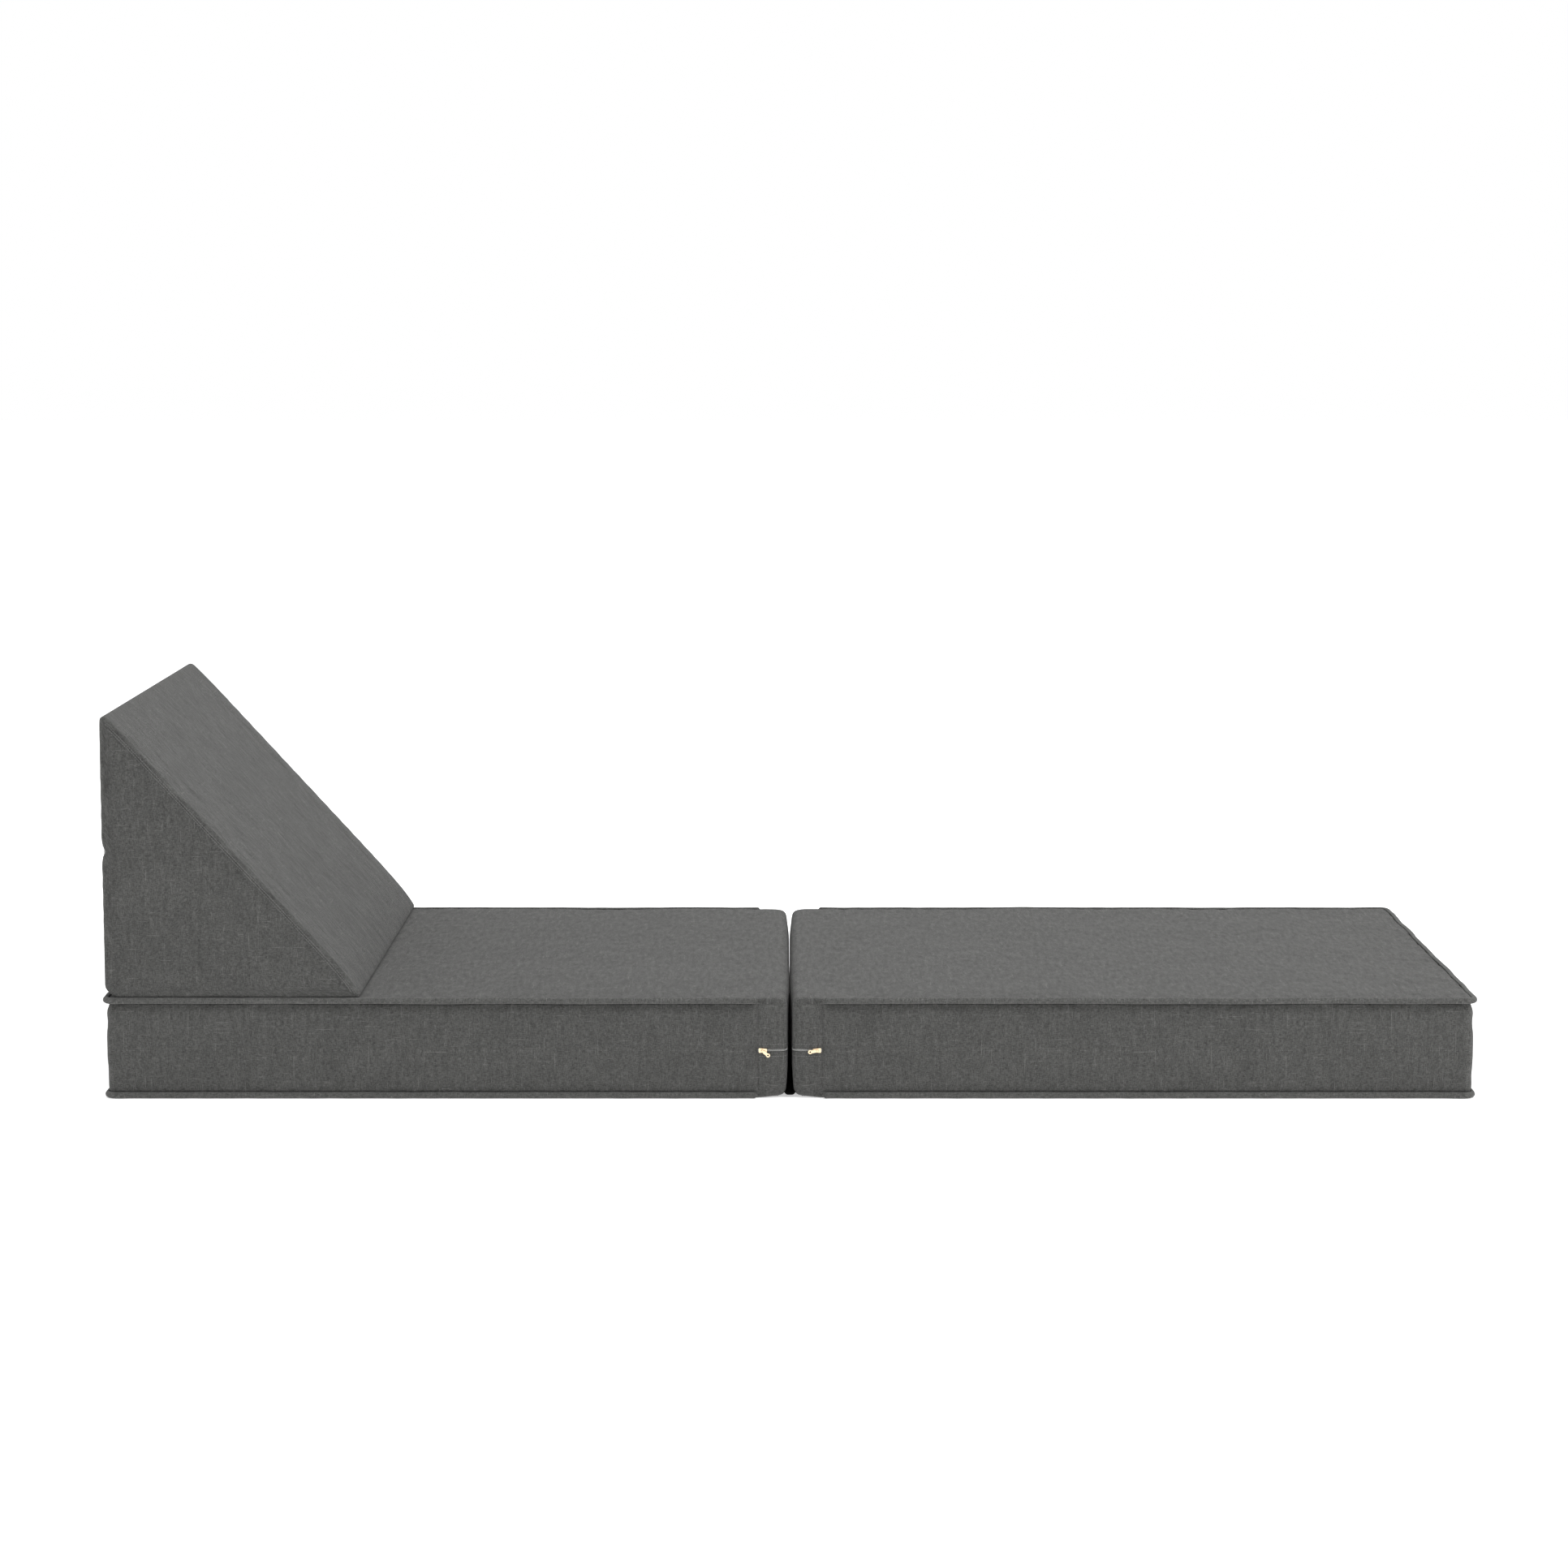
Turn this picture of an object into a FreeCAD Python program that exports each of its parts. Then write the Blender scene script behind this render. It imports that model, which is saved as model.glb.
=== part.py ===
import FreeCAD, Part
import math
import os

# Futon sofa bed: two foam panels lie end to end and fold on a cloth hinge along the bottom of the gap between
# them, and a foam wedge stands on the head panel as a backrest. Every panel is a foam core in a liner and a sewn
# cover whose zip runs round its hinge end.
# Millimetres. The origin is on the floor at the middle of the hinge. +X points to the foot end, +Z up, and the
# zip sliders of the two panels are on the -Y side.

# Overall sizes
bed_length = 1930.0  # over the welts
bed_width = 800.0  # over the welts
panel_height = 143.0
wedge_depth = 360.0  # along X, from its back to its rounded toe
wedge_height = 393.6  # from its base to the top of its rounded ridge
wedge_setback = 6.0  # from the head end of the welts to the back of the wedge

# Panels
hinge_gap = 10.0  # between the two hinge ends
welt_reach = 5.5  # how far a welt stands out from the wall
welt_top_height = 8.0
welt_bottom_height = 9.2
welt_rounding = 3.0
welt_bite = 2.5  # how far a welt laps over the edge of the cover
welt_inset = 0.5  # from the panel's top face down to the upper welt
welt_floor_clearance = 0.3
outer_corner = 18.0  # radius of the corners at the outer end, seen from above
hinge_corner = 13.0  # the same at the hinge end
hinge_end_rounding = 20.0  # radius of the hinge end's upper and lower edges
edge_rounding = 6.0  # radius of the long edges
band_end = 45.0  # from the hinge line to the vertical seam where the welted band stops
top_seam_drop = 8.0  # from the top face down to the seam of the top panel
bottom_seam_rise = 9.0  # from the floor up to the seam of the bottom panel

# Layers
cover_wall = 2.0
liner_wall = 1.0
least_rounding = 0.4

# Zips
zip_height = 69.0  # from the floor to the middle of a panel's coil
wedge_zip_height = 205.6  # from the wedge's base to the middle of its coil
coil_width = 4.4
coil_stand = 0.3  # how far the coil stands out of the cover
coil_slit = 1.2  # between the coil's halves where the slider's post runs
tape_wall = 0.8
tape_reach = 14.0  # from the middle of the coil to the edge of a tape
stop_length = 2.0

# Sliders and pulls
slider_length = 11.5
slider_wide = 6.8
slider_narrow = 4.6
slider_clearance = 0.3
slider_plate = 1.1
slider_back_plate = 1.0
slider_corner = 0.9
slider_post_length = 1.5
slider_post_wall = 0.6
slider_post_setback = 1.05  # from the wide end to the post
slider_corner_clearance = 1.3  # left before the rounded corner of the hinge end at the end of the travel
pocket_depth = 1.8  # room in the liner and foam behind a slider
bridge_offset = 1.0  # from the slider's middle towards its wide end
bridge_wall = 0.8
bridge_length = 1.4
bar_radius = 0.6
bar_clearance = 0.1
eye_wall = 0.7
eye_width = 2.2
eye_side_clearance = 0.25
eye_plate_clearance = 0.2
tab_wall = 1.0
tab_width = 4.2
tab_neck = 1.0  # from the eye's rim to the full width
tab_hole_distance = 10.6  # from the bar to the hole
tab_hole_radius = 1.2
tab_end_radius = 2.9
pull_angles = {"head": 39.0, "foot": 10.0}  # how far each pull hangs below the coil

# Cloth hinge
flap_wall = 1.0
flap_half_gap = 0.2  # from the hinge line to each flap
flap_middle_height = 4.1
flap_sewn_height = 10.0
flap_margin = 6.5  # from the rounded corner of the hinge end to the flap's end

# Hook and loop strips between the wedge and the head panel
strip_wall = 1.2
strip_width = 50.0
strip_end_margin = 94.5  # from the side of the wedge to a strip's end
strip_inset = 60.0  # from the back of the wedge to the first strip
strip_spacing = 190.0

# Wedge
wedge_heel_rounding = 19.0
wedge_ridge_rounding = 5.0
wedge_toe_rounding = 3.0
wedge_base_seam = 6.0  # from the base up to its seam

# Derived places
beyond = 60.0  # extra reach of a cutting block
hinge_face = hinge_gap / 2
outer_face = bed_length / 2 - welt_reach
panel_half = bed_width / 2 - welt_reach
coil_half = coil_width / 2
slit_half = coil_slit / 2
foam_depth = cover_wall + liner_wall
plate_base = slider_clearance
channel_roof = coil_stand + slider_clearance + 0.1
plate_top = channel_roof + slider_plate
eye_bore = bar_radius + bar_clearance
eye_rim = eye_bore + eye_wall
bar_height = plate_top + eye_plate_clearance + eye_rim
slider_middle = band_end - stop_length - coil_stand - slider_length / 2 + slider_post_setback
slider_travel = slider_middle - slider_length / 2 - (hinge_face + hinge_corner) - slider_corner_clearance
wedge_back = -bed_length / 2 + wedge_setback
wedge_base = panel_height + 2 * strip_wall
wedge_half = panel_half
wedge_zip = wedge_base + wedge_zip_height

X = FreeCAD.Vector(1, 0, 0)
Y = FreeCAD.Vector(0, 1, 0)
Z = FreeCAD.Vector(0, 0, 1)
ORIGIN = FreeCAD.Vector(0, 0, 0)
VIEWS = {"plan": (X, Y, Z), "side": (X, Z, Y), "end": (Y, Z, X)}


# Outlines and blocks

def rounded_wire(corners, radii):
    """Closed outline through the corners, each rounded by an arc tangent to its two sides."""
    arcs = []
    for i, corner in enumerate(corners):
        back = (corners[i - 1] - corner).normalize()
        ahead = (corners[(i + 1) % len(corners)] - corner).normalize()
        half_turn = back.getAngle(ahead) / 2
        reach = radii[i] / math.tan(half_turn)
        inwards = (back + ahead).normalize()
        middle = corner + inwards * (radii[i] / math.sin(half_turn) - radii[i])
        arcs.append((corner + back * reach, middle, corner + ahead * reach))
    edges = []
    for i, arc in enumerate(arcs):
        edges.append(Part.Arc(*arc).toShape())
        edges.append(Part.LineSegment(arc[2], arcs[(i + 1) % len(arcs)][0]).toShape())
    return Part.Wire(edges)


def inset_outline(points, inset):
    """The convex outline with every side moved inwards, its corners counter-clockwise."""
    sides = []
    for (a, b), (c, d) in zip(points, points[1:] + points[:1]):
        length = math.hypot(c - a, d - b)
        across = (b - d) / length
        up = (c - a) / length
        sides.append((across, up, across * a + up * b + inset))
    moved = []
    for i, (across, up, level) in enumerate(sides):
        back_across, back_up, back_level = sides[i - 1]
        spread = back_across * up - back_up * across
        first = (back_level * up - back_up * level) / spread
        second = (back_across * level - back_level * across) / spread
        moved.append((first, second))
    return moved


def prism(view, points, radii, low, high, inset=0.0):
    """The outline seen in this view, inset and rounded, carried from low to high along the third axis."""
    first, second, third = VIEWS[view]
    corners = [first * a + second * b + third * low for a, b in inset_outline(points, inset)]
    rounding = [max(radius - inset, least_rounding) for radius in radii]
    return Part.Face(rounded_wire(corners, rounding)).extrude(third * (high - low))


def block(x, y, z):
    """A box between two values along each axis."""
    corner = FreeCAD.Vector(x[0], y[0], z[0])
    return Part.makeBox(x[1] - x[0], y[1] - y[0], z[1] - z[0], corner)


def rectangle(low_a, low_b, high_a, high_b):
    """Corners of a rectangle, counter-clockwise."""
    return [(low_a, low_b), (high_a, low_b), (high_a, high_b), (low_a, high_b)]


# One panel, drawn at the foot end. The head panel's pieces are its mirror image.

panel_plan = rectangle(hinge_face, -panel_half, outer_face, panel_half)
panel_side = rectangle(hinge_face, 0, outer_face, panel_height)
panel_end = rectangle(-panel_half, 0, panel_half, panel_height)
plan_radii = [hinge_corner, outer_corner, outer_corner, hinge_corner]
side_radii = [hinge_end_rounding, edge_rounding, edge_rounding, hinge_end_rounding]
end_radii = [edge_rounding] * 4
all_y = (-panel_half - beyond, panel_half + beyond)
all_z = (-beyond, panel_height + beyond)
gusset_x = (0, band_end)
band_x = (band_end, outer_face + beyond)


def panel_form(inset):
    """The panel's outer form, smaller by inset all over."""
    plan = prism("plan", panel_plan, plan_radii, all_z[0], all_z[1], inset)
    side = prism("side", panel_side, side_radii, all_y[0], all_y[1], inset)
    end = prism("end", panel_end, end_radii, 0, outer_face + beyond, inset)
    return plan.common(side).common(end)


def panel_layer(outside, inside):
    """The layer of the panel between two depths below its surface."""
    return panel_form(outside).cut(panel_form(inside))


def slider_pocket():
    """Room in the liner and the foam for the slider's back plate over its travel."""
    room = slider_length / 2 + slider_clearance
    x = (slider_middle - slider_travel - room, slider_middle + room)
    y = (cover_wall - panel_half, cover_wall + pocket_depth - panel_half)
    half = slider_wide / 2 + slider_clearance
    return block(x, y, (zip_height - half, zip_height + half))


def welt(low, high):
    """A welt round the outer end and along both sides, from the one vertical seam to the other."""
    reach = outer_face + welt_reach
    across = panel_half + welt_reach
    plan = prism("plan", panel_plan, plan_radii, low, high, -welt_reach)
    side_points = rectangle(0, low, reach, high)
    side = prism("side", side_points, [least_rounding, welt_rounding, welt_rounding, least_rounding], *all_y)
    end = prism("end", rectangle(-across, low, across, high), [welt_rounding] * 4, 0, reach + beyond)
    inner = prism("plan", panel_plan, plan_radii, all_z[0], all_z[1], welt_bite)
    ring = plan.common(side).common(end).cut(inner).cut(panel_form(0))
    return ring.common(block(band_x, all_y, all_z))


def hinge_flap():
    """Half of the hinge cloth, from its seam on the lower edge of the hinge end to beside the hinge line."""
    drop = hinge_end_rounding - flap_sewn_height
    seam_x = hinge_face + hinge_end_rounding - math.sqrt(hinge_end_rounding ** 2 - drop ** 2)
    rise = (flap_sewn_height - flap_middle_height) / (seam_x - flap_half_gap)
    inside_x = seam_x + edge_rounding / 2
    inside_z = flap_sewn_height + rise * (inside_x - seam_x)
    half = flap_wall / 2
    reach = panel_half - hinge_corner - flap_margin
    middle = FreeCAD.Vector(flap_half_gap, -reach, flap_middle_height)
    inside = FreeCAD.Vector(inside_x, -reach, inside_z)
    corners = [middle - Z * half, inside - Z * half, inside + Z * half, middle + Z * half]
    outline = Part.makePolygon(corners + corners[:1])
    strip = Part.Face(outline).extrude(Y * (2 * reach))
    roll = Part.makeCylinder(hinge_end_rounding, 2 * reach, FreeCAD.Vector(hinge_face + hinge_end_rounding, -reach,
                             hinge_end_rounding), Y)
    return strip.cut(roll)


def panel_pieces():
    """Every fixed piece of one panel, by name."""
    top_seam = panel_height - top_seam_drop
    stop_x = band_end - stop_length
    above_coil = (zip_height + coil_half, top_seam)
    below_coil = (bottom_seam_rise, zip_height - coil_half)
    cover = panel_layer(0, cover_wall)
    tape_z = (zip_height - tape_reach, zip_height + tape_reach)
    tapes = panel_layer(cover_wall - tape_wall, cover_wall).common(block(gusset_x, all_y, tape_z))
    coil_z = (zip_height - coil_half, zip_height + coil_half)
    chain = panel_layer(-coil_stand, cover_wall).common(block(gusset_x, all_y, coil_z))
    post_end = slider_middle + slider_length / 2 - slider_post_setback - slider_post_length
    slit_x = (post_end - slider_travel - slider_clearance, stop_x)
    slit_y = (-panel_half - beyond, cover_wall - panel_half + pocket_depth)
    slit = block(slit_x, slit_y, (zip_height - slit_half, zip_height + slit_half))
    pocket = slider_pocket()
    welt_top = panel_height - welt_inset
    welt_low = welt_floor_clearance
    return {
        "foam_core": panel_form(foam_depth).cut(pocket),
        "inner_liner": panel_layer(cover_wall, foam_depth).cut(pocket),
        "cover_top": cover.common(block((0, band_x[1]), all_y, (top_seam, all_z[1]))),
        "cover_bottom": cover.common(block((0, band_x[1]), all_y, (all_z[0], bottom_seam_rise))),
        "cover_band": cover.common(block(band_x, all_y, (bottom_seam_rise, top_seam))),
        "gusset_upper": cover.common(block(gusset_x, all_y, above_coil)).cut(tapes),
        "gusset_lower": cover.common(block(gusset_x, all_y, below_coil)).cut(tapes),
        "welt_top": welt(welt_top - welt_top_height, welt_top),
        "welt_bottom": welt(welt_low, welt_low + welt_bottom_height),
        "zip_tape_upper": tapes.common(block(gusset_x, all_y, above_coil)),
        "zip_tape_lower": tapes.common(block(gusset_x, all_y, below_coil)),
        "zip_coil": chain.common(block((0, stop_x), all_y, all_z)).cut(slit),
        "zip_stops": chain.common(block((stop_x, band_end), all_y, all_z)),
        "hinge_flap": hinge_flap(),
    }


# Zip slider and pull, drawn about the middle of the slider: the first axis runs along the coil to the slider's
# wide end, the second across it, and the third stands out from the cover.

def zip_slider(pull_angle):
    """Front plate with a channel for the coil, back plate, the post that joins them, and the bridge."""
    half = slider_length / 2
    points = [
        (-half, -slider_narrow / 2),
        (half, -slider_wide / 2),
        (half, slider_wide / 2),
        (-half, slider_narrow / 2),
    ]
    corners = [slider_corner] * 4
    back_top = -cover_wall - slider_clearance
    front = prism("plan", points, corners, plate_base, plate_top)
    channel_half = coil_half + slider_clearance
    front = front.cut(block((-half, half), (-channel_half, channel_half), (plate_base, channel_roof)))
    back = prism("plan", points, corners, back_top - slider_back_plate, back_top)
    post_x = (half - slider_post_setback - slider_post_length, half - slider_post_setback)
    post = block(post_x, (-slider_post_wall / 2, slider_post_wall / 2), (back_top, channel_roof))
    ear = eye_width / 2 + eye_side_clearance
    ear_top = bar_height + bar_radius + slider_clearance
    ear_x = (-bridge_length / 2, bridge_length / 2)
    bridge = Part.makeCylinder(bar_radius, 2 * ear, FreeCAD.Vector(0, -ear, bar_height), Y)
    bridge = bridge.fuse(block(ear_x, (ear, ear + bridge_wall), (plate_top, ear_top)))
    bridge = bridge.fuse(block(ear_x, (-ear - bridge_wall, -ear), (plate_top, ear_top)))
    return front.fuse([back, post, turned(bridge, pull_angle)]).removeSplitter()


def zip_pull(pull_angle):
    """Tab with an eye round the bridge's bar, and a round end with a hole in it."""
    half = tab_wall / 2
    tab_z = (bar_height - half, bar_height + half)
    side = eye_width / 2
    eye_centre = FreeCAD.Vector(0, -side, bar_height)
    tab_start = eye_rim + tab_neck
    tab = Part.makeCylinder(eye_rim, eye_width, eye_centre, Y)
    tab = tab.fuse(block((-tab_start, 0), (-side, side), tab_z))
    tab = tab.fuse(block((-tab_hole_distance, -tab_start), (-tab_width / 2, tab_width / 2), tab_z))
    end_centre = FreeCAD.Vector(-tab_hole_distance, 0, bar_height - half)
    tab = tab.fuse(Part.makeCylinder(tab_end_radius, tab_wall, end_centre))
    tab = tab.cut(Part.makeCylinder(tab_hole_radius, tab_wall, end_centre))
    tab = tab.cut(Part.makeCylinder(eye_bore, eye_width, eye_centre, Y))
    return turned(tab.removeSplitter(), pull_angle)


def turned(shape, angle):
    """The shape turned by angle and moved from the slider's middle to its bridge."""
    turned_shape = shape.copy()
    turned_shape.rotate(ORIGIN, Z, angle)
    turned_shape.translate(X * bridge_offset)
    return turned_shape


def placed(shape, place, along, across, outwards):
    """The shape moved from the slider's own axes to its place on the cover."""
    moved = shape.copy()
    frame = FreeCAD.Placement(place, FreeCAD.Rotation(along, across, outwards, "XYZ"))
    moved.Placement = frame.multiply(shape.Placement)
    return moved


# Wedge


def sharp_sides():
    """Depth and height of the triangle before its toe and ridge are rounded back to the stated sizes."""
    depth = wedge_depth
    height = wedge_height
    for _ in range(30):
        ridge_half = math.atan2(depth, height) / 2
        toe_half = math.atan2(height, depth) / 2
        depth = wedge_depth + wedge_toe_rounding * (1 / math.tan(toe_half) - 1)
        height = wedge_height + wedge_ridge_rounding * (1 / math.tan(ridge_half) - 1)
    return depth, height


sharp_depth, sharp_height = sharp_sides()
wedge_profile = [
    (wedge_back, wedge_base),
    (wedge_back + sharp_depth, wedge_base),
    (wedge_back, wedge_base + sharp_height),
]
wedge_radii = [wedge_heel_rounding, wedge_toe_rounding, wedge_ridge_rounding]
wedge_y = (-wedge_half - beyond, wedge_half + beyond)
wedge_z = (0, wedge_base + sharp_height + beyond)
back_x = (wedge_back - beyond, wedge_back + wedge_heel_rounding + wedge_ridge_rounding)
wedge_seam_half = wedge_half - cover_wall
wedge_slider_y = wedge_seam_half - stop_length - coil_stand - slider_length / 2 + slider_post_setback


def wedge_form(inset, half_width):
    """The wedge's triangle, smaller by inset, over the given half width."""
    return prism("side", wedge_profile, wedge_radii, -half_width, half_width, inset)


def wedge_pieces():
    """Every fixed piece of the wedge, by name."""
    cover = wedge_form(0, wedge_seam_half).cut(wedge_form(cover_wall, wedge_seam_half))
    tape_z = (wedge_zip - tape_reach, wedge_zip + tape_reach)
    tapes = wedge_form(cover_wall - tape_wall, wedge_seam_half)
    tapes = tapes.cut(wedge_form(cover_wall, wedge_seam_half)).common(block(back_x, wedge_y, tape_z))
    coil_z = (wedge_zip - coil_half, wedge_zip + coil_half)
    chain = wedge_form(-coil_stand, wedge_seam_half).cut(wedge_form(cover_wall, wedge_seam_half))
    chain = chain.common(block(back_x, wedge_y, coil_z))
    stop_y = wedge_seam_half - stop_length
    slit = block(back_x, (-stop_y, stop_y), (wedge_zip - slit_half, wedge_zip + slit_half))
    pocket_half = slider_wide / 2 + slider_clearance
    pocket = block(
        (wedge_back + cover_wall, wedge_back + cover_wall + pocket_depth),
        (liner_wall - wedge_seam_half, wedge_seam_half - liner_wall),
        (wedge_zip - pocket_half, wedge_zip + pocket_half),
    )
    above_coil = (coil_z[1], wedge_z[1])
    seam = wedge_base + wedge_base_seam
    below_coil = (seam, coil_z[0])
    rear = cover.common(block(back_x, wedge_y, (seam, coil_z[1])))
    upright = cover.common(block((wedge_back - beyond, beyond), wedge_y, (seam, wedge_z[1])))
    whole = wedge_form(0, wedge_half)
    liner = wedge_form(cover_wall, wedge_seam_half)
    foam = wedge_form(foam_depth, wedge_seam_half - liner_wall)
    beside = (wedge_back - beyond, beyond)
    return {
        "wedge_foam_core": foam.cut(pocket),
        "wedge_inner_liner": liner.cut(foam).cut(pocket),
        "wedge_cover_slope": upright.cut(rear).cut(tapes),
        "wedge_cover_rear_lower": rear.common(block(back_x, wedge_y, below_coil)).cut(tapes),
        "wedge_cover_base": cover.common(block(beside, wedge_y, (wedge_z[0], seam))),
        "wedge_side_near": whole.common(block(beside, (-wedge_half, -wedge_seam_half), wedge_z)),
        "wedge_side_far": whole.common(block(beside, (wedge_seam_half, wedge_half), wedge_z)),
        "wedge_zip_tape_upper": tapes.common(block(back_x, wedge_y, above_coil)),
        "wedge_zip_tape_lower": tapes.common(block(back_x, wedge_y, below_coil)),
        "wedge_zip_coil": chain.common(block(back_x, (-stop_y, stop_y), wedge_z)).cut(slit),
        "wedge_zip_stops": chain.cut(block(back_x, (-stop_y, stop_y), wedge_z)),
    }


def fastening_strips(low):
    """The strips that hold the wedge down, side by side across its base."""
    strips = []
    for i in range(2):
        start = wedge_back + strip_inset + i * strip_spacing
        strip_y = (strip_end_margin - wedge_half, wedge_half - strip_end_margin)
        strips.append(block((start, start + strip_width), strip_y, (low, low + strip_wall)))
    return Part.makeCompound(strips)


# All the pieces

pieces = {}
slider_place = FreeCAD.Vector(slider_middle, -panel_half, zip_height)
for name, shape in panel_pieces().items():
    pieces["foot_" + name] = shape
    pieces["head_" + name] = shape.mirror(ORIGIN, X)
for end, angle in pull_angles.items():
    slider = placed(zip_slider(angle), slider_place, X, Z, -Y)
    pull = placed(zip_pull(angle), slider_place, X, Z, -Y)
    if end == "head":
        slider = slider.mirror(ORIGIN, X)
        pull = pull.mirror(ORIGIN, X)
    pieces[end + "_zip_slider"] = slider
    pieces[end + "_zip_pull"] = pull
pieces.update(wedge_pieces())
wedge_slider_place = FreeCAD.Vector(wedge_back, wedge_slider_y, wedge_zip)
hanging = -90.0
pieces["wedge_zip_slider"] = placed(zip_slider(hanging), wedge_slider_place, Y, -Z, -X)
pieces["wedge_zip_pull"] = placed(zip_pull(hanging), wedge_slider_place, Y, -Z, -X)
pieces["head_loop_strips"] = fastening_strips(panel_height)
pieces["wedge_hook_strips"] = fastening_strips(panel_height + strip_wall)

os.makedirs("parts", exist_ok=True)
for name, shape in pieces.items():
    shape.exportStep("parts/" + name + ".step")
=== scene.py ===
import bpy
import numpy as np
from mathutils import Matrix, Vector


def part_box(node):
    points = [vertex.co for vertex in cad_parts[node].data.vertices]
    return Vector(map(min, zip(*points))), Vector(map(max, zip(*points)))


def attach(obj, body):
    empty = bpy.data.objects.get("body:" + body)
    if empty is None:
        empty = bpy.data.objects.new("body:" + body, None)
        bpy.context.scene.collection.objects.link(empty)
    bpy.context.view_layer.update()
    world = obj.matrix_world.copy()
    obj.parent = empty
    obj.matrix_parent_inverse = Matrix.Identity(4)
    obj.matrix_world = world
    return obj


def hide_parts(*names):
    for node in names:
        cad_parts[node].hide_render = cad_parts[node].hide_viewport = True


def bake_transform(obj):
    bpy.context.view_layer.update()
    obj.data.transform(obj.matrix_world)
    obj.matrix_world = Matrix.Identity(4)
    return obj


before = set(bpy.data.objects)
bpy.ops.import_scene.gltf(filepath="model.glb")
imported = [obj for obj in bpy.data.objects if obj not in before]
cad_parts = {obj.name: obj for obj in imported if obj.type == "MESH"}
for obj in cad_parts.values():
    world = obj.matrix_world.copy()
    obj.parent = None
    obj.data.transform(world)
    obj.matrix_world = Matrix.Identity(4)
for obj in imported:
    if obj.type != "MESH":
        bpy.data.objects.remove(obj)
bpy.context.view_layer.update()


# Covers of the two foam panels. Each is cut from slubbed linen-look upholstery cloth: a top, a bottom, a band round
# the outer end and long sides, and a smooth two-part gusset round the hinge end that holds the zip. The pieces are
# sewn inside out, turned, and zipped over the foam, whose push rounds the cloth out between its seams.

band_low, band_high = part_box("foot_cover_band")
hinge_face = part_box("foot_gusset_upper")[0].x
panel_length = band_high.x - hinge_face
half_width = band_high.y
panel_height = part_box("foot_cover_top")[1].z
side_seam = band_low.x - hinge_face
zip_low, zip_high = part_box("foot_zip_coil")
zip_level = (zip_low.z + zip_high.z) / 2
toe_reach = -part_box("wedge_side_near")[1].x - hinge_face

cloth_wall = 0.0011
grid_step = 0.0125
hinge_places = (0, .004, .009, .014, .020, .027, .034, side_seam, .048, .058)
outer_places = (0, .004, .009, .014, .019, .027, .037)
lip_half = 0.0011
tape_half = 0.014
topstitch_half = 0.009
levels = np.array([
    0, .0005, .002, .0045, .009, .014, .022, .033, .044, zip_level - tape_half, zip_level - topstitch_half,
    zip_level - lip_half, zip_level + lip_half, zip_level + topstitch_half, zip_level + tape_half, .094, .105, .116,
    .124, .130, .135, .1385, .141, .1425, panel_height,
])
BOTTOM_SEAM, TOP_SEAM = 4, 20
TAPE_FOOT, LOWER_STITCH, LOWER_LIP, UPPER_LIP, UPPER_STITCH, TAPE_TOP = range(9, 15)


def stations(length, near, far, step):
    """Places from 0 to length: each end's own places, counted from that end, and even steps between them."""
    count = round((length - near[-1] - far[-1]) / step) + 1
    middle = np.linspace(near[-1], length - far[-1], count)
    return np.concatenate([near[:-1], middle, length - np.array(far[:-1])[::-1]])


def ease(value, start, end):
    """0 before start, 1 after end, and 3t²−2t³ between them."""
    t = np.clip((value - start) / (end - start), 0, 1)
    return t * t * (3 - 2 * t)


def ripple(place, waves, draw):
    """A sum of sines over the range 0 to 1, one for each number of waves, with drawn heights and starts."""
    waves = np.array(waves)
    heights = draw.uniform(.5, 1, len(waves)) / np.sqrt(len(waves))
    starts = draw.uniform(0, 2 * np.pi, len(waves))
    return (heights * np.sin(2 * np.pi * np.asarray(place)[..., None] * waves + starts)).sum(-1)


def rounded(across, along, radius):
    """Distances from a corner's two sides, moved so that the corner's square fills a quarter disc. With p and q
    counted from the square's inner corner in radii, p goes to p·√(1−q²/2) and q to q·√(1−p²/2)."""
    p = np.clip(1 - across / radius, 0, 1)
    q = np.clip(1 - along / radius, 0, 1)
    return across + radius * p * (1 - np.sqrt(1 - q * q / 2)), along + radius * q * (1 - np.sqrt(1 - p * p / 2))


def quads(grid):
    """Every square of a grid, whose first way runs upwards and second to the right, seen from outside."""
    corners = [grid[:-1, :-1], grid[:-1, 1:], grid[1:, 1:], grid[1:, :-1]]
    return np.stack(corners, axis=2).reshape(-1, 4, *grid.shape[2:])


def patch(near, outer, far, hinge, u, v):
    """The sheet between four edges: the near and far edges mixed by v, plus the hinge and outer edges mixed by u,
    less the mix of the four corners."""
    u = u[:, None, None]
    v = v[None, :, None]
    sides = (1 - v) * near[:, None] + v * far[:, None] + (1 - u) * hinge[None] + u * outer[None]
    low = (1 - u) * near[0] + u * near[-1]
    high = (1 - u) * far[0] + u * far[-1]
    return sides - (1 - v) * low - v * high


def ring_edges(ring, nx, ny):
    """A closed ring's near, outer, far and hinge edges, each running towards +x or +y."""
    closed = np.concatenate([ring, ring[:1]])
    return closed[:nx + 1], closed[nx:nx + ny + 1], closed[nx + ny:2 * nx + ny + 1][::-1], closed[2 * nx + ny:][::-1]


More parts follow.
